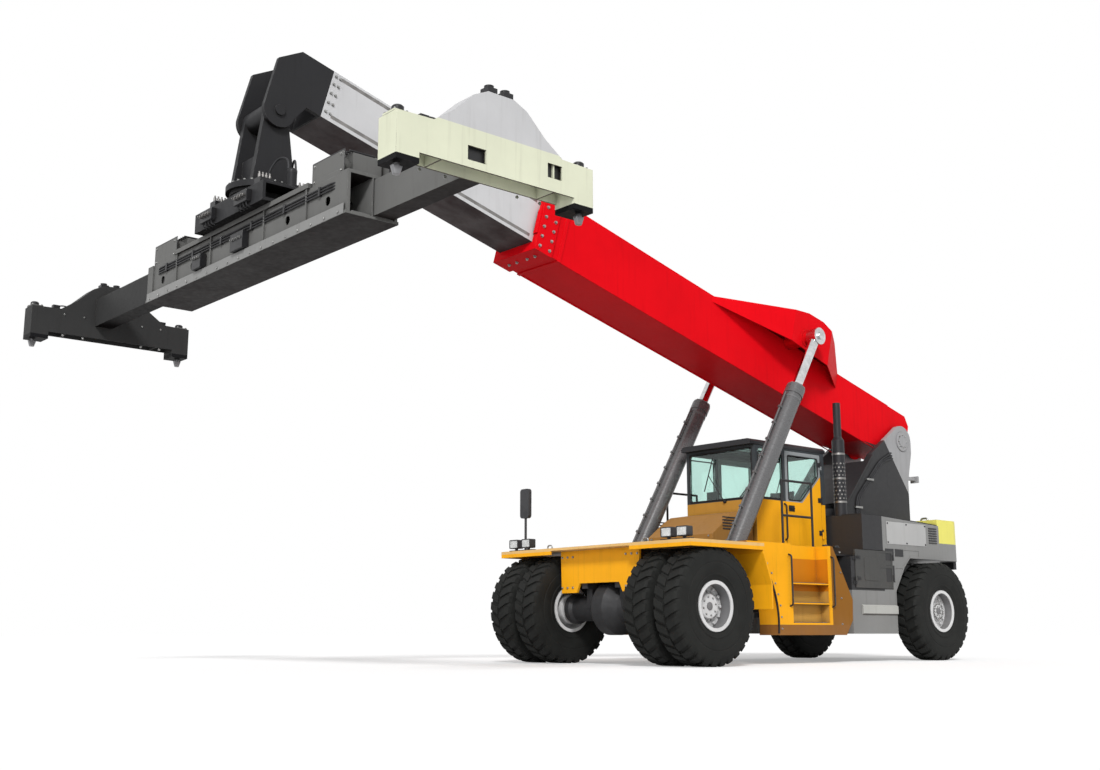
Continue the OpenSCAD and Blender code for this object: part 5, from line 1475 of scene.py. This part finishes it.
class STACKER_OT_arches(bpy.types.Operator):
    """Make the side bodies' rubber arch lips and the bolts along them"""

    bl_idname = "stacker.arches"
    bl_label = "Arch lips"

    def execute(self, context):
        lip, steel = collectors(2)
        for side in SIDES:
            axis = (0, side, 0)
            lip.tube([arch_place(ARCH_R, side * 1.652, 124 + 62 * k / 14) for k in range(15)], 0.016, 10, 0.0)
            steel.bolts([arch_place(1.43, side * SIDE_Y, 128 + 55 * k / 8) for k in range(9)], axis, 0.022)
            steel.bolts([(-3.33, side * SIDE_Y, z) for z in (0.60, 1.00, 1.40, 1.72)], axis, 0.022)
        lip.finish("arch_lips", "chassis", "Gasket rubber", "plastic_black")
        steel.finish("arch_bolts", "chassis", "Zinc steel", "lock_steel")
        return {"FINISHED"}


class STACKER_OT_rear(bpy.types.Operator):
    """Make the counterweight's lifting eyes and tail lamps, and the hood's grilles"""

    bl_idname = "stacker.rear"
    bl_label = "Counterweight and hood grilles"

    def execute(self, context):
        steel, red, dark = collectors(3)
        lens = [(0, 0.036), (0.006, 0.036), (0.010, 0.026)]
        for side in SIDES:
            y = side * 0.85
            steel.handle((-7.02, y - 0.07, 2.42), (-7.02, y + 0.07, 2.42), (0, 0, 0.10), 0, 0.018, 14, 0.06)
            dark.plate((-7.33, side * 0.98, 1.585), (-7.24, side * 1.26, 1.725))
            for k in range(3):
                red.turned(lens, (-7.328, side * (1.03 + 0.09 * k), 1.655), BACK, 20)
        for x in (-5.95, -5.30):
            dark.slats((x, -0.30, GRILLE_LOW), (x + 0.018, 0.30, 2.672), (0.05, 0, 0), 11)
            for low in (x - 0.03, x + 0.53):
                dark.plate((low, -0.33, GRILLE_LOW), (low + 0.02, 0.33, GRILLE_HIGH))
            for y in (-0.33, 0.31):
                dark.plate((x - 0.03, y, GRILLE_LOW), (x + 0.55, y + 0.02, GRILLE_HIGH))
        steel.finish("lifting_eyes", "chassis", "Zinc steel", "lock_steel")
        red.finish("tail_lenses", "chassis", "Tail red", "lamp_housing")
        dark.finish("hood_grille", "chassis", "Hood dark", "hood_dark", bevel=0.002)
        return {"FINISHED"}


class STACKER_OT_lamps(bpy.types.Operator):
    """Make the lamps' lenses and the mirror's glass"""

    bl_idname = "stacker.lamps"
    bl_label = "Lamps and mirror"

    def execute(self, context):
        lens, silver = collectors(2)
        for side in SIDES:
            for y in (side * 1.54, side * 1.84):
                lens.plate((0.478, y - 0.095, 1.796), (0.484, y + 0.095, 1.916))
                for k in range(7):
                    across = y - 0.081 + 0.027 * k
                    lens.bar((0.484, across, 1.80), (0.484, across, 1.912), 0.004, 6)
        silver.plate((0.0885, -2.08, 2.32), (0.0915, -1.88, 2.76))
        silver.border((0.089, -2.08, 2.32), (0.089, -1.88, 2.76), 0.005, 0.03)
        lens.finish("lamp_lenses", "chassis", "Lens", "lamp_housing")
        silver.finish("mirror_glass", "chassis", "Mirror", "glass")
        return {"FINISHED"}


# The studio. The camera's place, turn and focus were fitted to the photograph, whose width is in pixels.

PHOTO_W = 1100
PHOTO_FOCUS = 1279.1
SENSOR = 36.0
CAMERA_PLACE = (13.514, 14.122, 0.466)
CAMERA_YAW = math.radians(-130.84)
CAMERA_PITCH = math.radians(10.96)
FLOOR_HALF = 150.0
FLOOR_GREY, FLOOR_LIFT = 0.86, 0.31
SKY_LIGHT, SKY_SHINE = 0.38, 0.85
KEY_LIGHT = {"direction": (0.75, 0.80, 0.80), "strength": 2.3, "spread": 12}
FILL_LIGHT = {"direction": (1.0, 0.6, 0.1), "strength": 0.70, "spread": 40}


def studio_white(name, grey, lift):
    """A matt pale surface that the camera sees a little brighter, so that it runs into the white behind."""
    material = bpy.data.materials.new(name)
    material.use_nodes = True
    material.node_tree.nodes.clear()
    nodes = Nodes(material.node_tree)
    matt = nodes.add("BsdfDiffuse", Color=(grey, grey, grey))
    seen = nodes.maths("MULTIPLY", nodes.add("LightPath").outputs["Is Camera Ray"], lift)
    glow = nodes.add("Emission", Color=(1, 1, 1), Strength=seen)
    both = nodes.add("AddShader")
    nodes.put_all(both, (matt.outputs[0], glow.outputs[0]))
    nodes.add("OutputMaterial", Surface=both.outputs[0])
    return material


def studio_sky(name):
    """A world that is white to the camera and through glass, a little dimmer in reflections and dim as a
    light."""
    world = bpy.data.worlds.new(name)
    world.use_nodes = True
    world.node_tree.nodes.clear()
    nodes = Nodes(world.node_tree)
    path = nodes.add("LightPath").outputs
    shown = nodes.maths("MAXIMUM", path["Is Camera Ray"], path["Is Transmission Ray"])
    share = nodes.maths("MAXIMUM", shown, nodes.maths("MULTIPLY", path["Is Glossy Ray"], SKY_SHINE))
    strength = nodes.ramp(share, 0.0, 1.0, SKY_LIGHT, 1.0, False)
    nodes.add("OutputWorld", Surface=nodes.add("Background", Color=(1, 1, 1), Strength=strength).outputs[0])
    return world


def add_sun(name, direction, strength, spread):
    """A sun that shines from a direction, with the angle that it fills in degrees."""
    light = bpy.data.lights.new(name, "SUN")
    light.energy = strength
    light.angle = math.radians(spread)
    lamp = new_object(name, light)
    lamp.rotation_euler = Vector(direction).to_track_quat("Z", "Y").to_euler()


class STACKER_OT_stage(bpy.types.Operator):
    """Set the machine on a pale floor, under soft light, with the camera at the photograph's place"""

    bl_idname = "stacker.stage"
    bl_label = "Floor, light and camera"

    def execute(self, context):
        scene = context.scene
        scene.view_settings.view_transform = "Standard"
        data = bpy.data.cameras.new("Photo camera")
        data.sensor_width = SENSOR
        data.lens = PHOTO_FOCUS / PHOTO_W * SENSOR
        data.clip_end = 400
        camera = new_object("Photo camera", data)
        camera.location = CAMERA_PLACE
        camera.rotation_euler = (math.pi / 2 + CAMERA_PITCH, 0, CAMERA_YAW - math.pi / 2)
        scene.camera = camera

        corners = [(x * FLOOR_HALF, y * FLOOR_HALF, 0) for x, y in ((-1, -1), (1, -1), (1, 1), (-1, 1))]
        mesh = bpy.data.meshes.new("Floor")
        mesh.from_pydata(corners, [], [(0, 1, 2, 3)])
        floor = new_object("Floor", mesh)
        mesh.materials.append(studio_white("Pale floor", FLOOR_GREY, FLOOR_LIFT))

        add_sun("Key light", **KEY_LIGHT)
        add_sun("Fill light", **FILL_LIGHT)
        scene.world = studio_sky("Studio")
        return {"FINISHED"}


class STACKER_PT_looks(bpy.types.Panel):
    """Lists the operators and the settings that they use."""

    bl_label = "Reach stacker"
    bl_idname = "STACKER_PT_looks"
    bl_space_type = "VIEW_3D"
    bl_region_type = "UI"
    bl_category = "Reach stacker"

    def draw(self, context):
        layout = self.layout
        for operator in OPERATORS:
            layout.operator(operator.bl_idname)
        for group in (context.scene.stacker_colours, context.scene.stacker_sizes):
            for name in group.__annotations__:
                layout.prop(group, name)


OPERATORS = (
    STACKER_OT_stage, STACKER_OT_finish_frame, STACKER_OT_tyres, STACKER_OT_hubs, STACKER_OT_boom,
    STACKER_OT_inner_boom, STACKER_OT_lift_cylinders, STACKER_OT_head, STACKER_OT_main_beam,
    STACKER_OT_end_beams, STACKER_OT_cab, STACKER_OT_cab_doors, STACKER_OT_seat, STACKER_OT_steps,
    STACKER_OT_compartments, STACKER_OT_hood, STACKER_OT_tower, STACKER_OT_underside, STACKER_OT_walkways,
    STACKER_OT_deck, STACKER_OT_arches, STACKER_OT_rear, STACKER_OT_valves, STACKER_OT_lamps)
CLASSES = (StackerColours, StackerSizes, *OPERATORS, STACKER_PT_looks)


def register():
    """Makes the classes and settings known."""
    for item in CLASSES:
        bpy.utils.register_class(item)
    bpy.types.Scene.stacker_colours = bpy.props.PointerProperty(type=StackerColours)
    bpy.types.Scene.stacker_sizes = bpy.props.PointerProperty(type=StackerSizes)


def unregister():
    """Takes the classes and settings away again."""
    del bpy.types.Scene.stacker_sizes
    del bpy.types.Scene.stacker_colours
    for item in reversed(CLASSES):
        bpy.utils.unregister_class(item)


def main():
    """Makes the looks."""
    register()
    for operator in OPERATORS:
        module, name = operator.bl_idname.split(".")
        getattr(getattr(bpy.ops, module), name)()


if __name__ == "__main__":
    main()
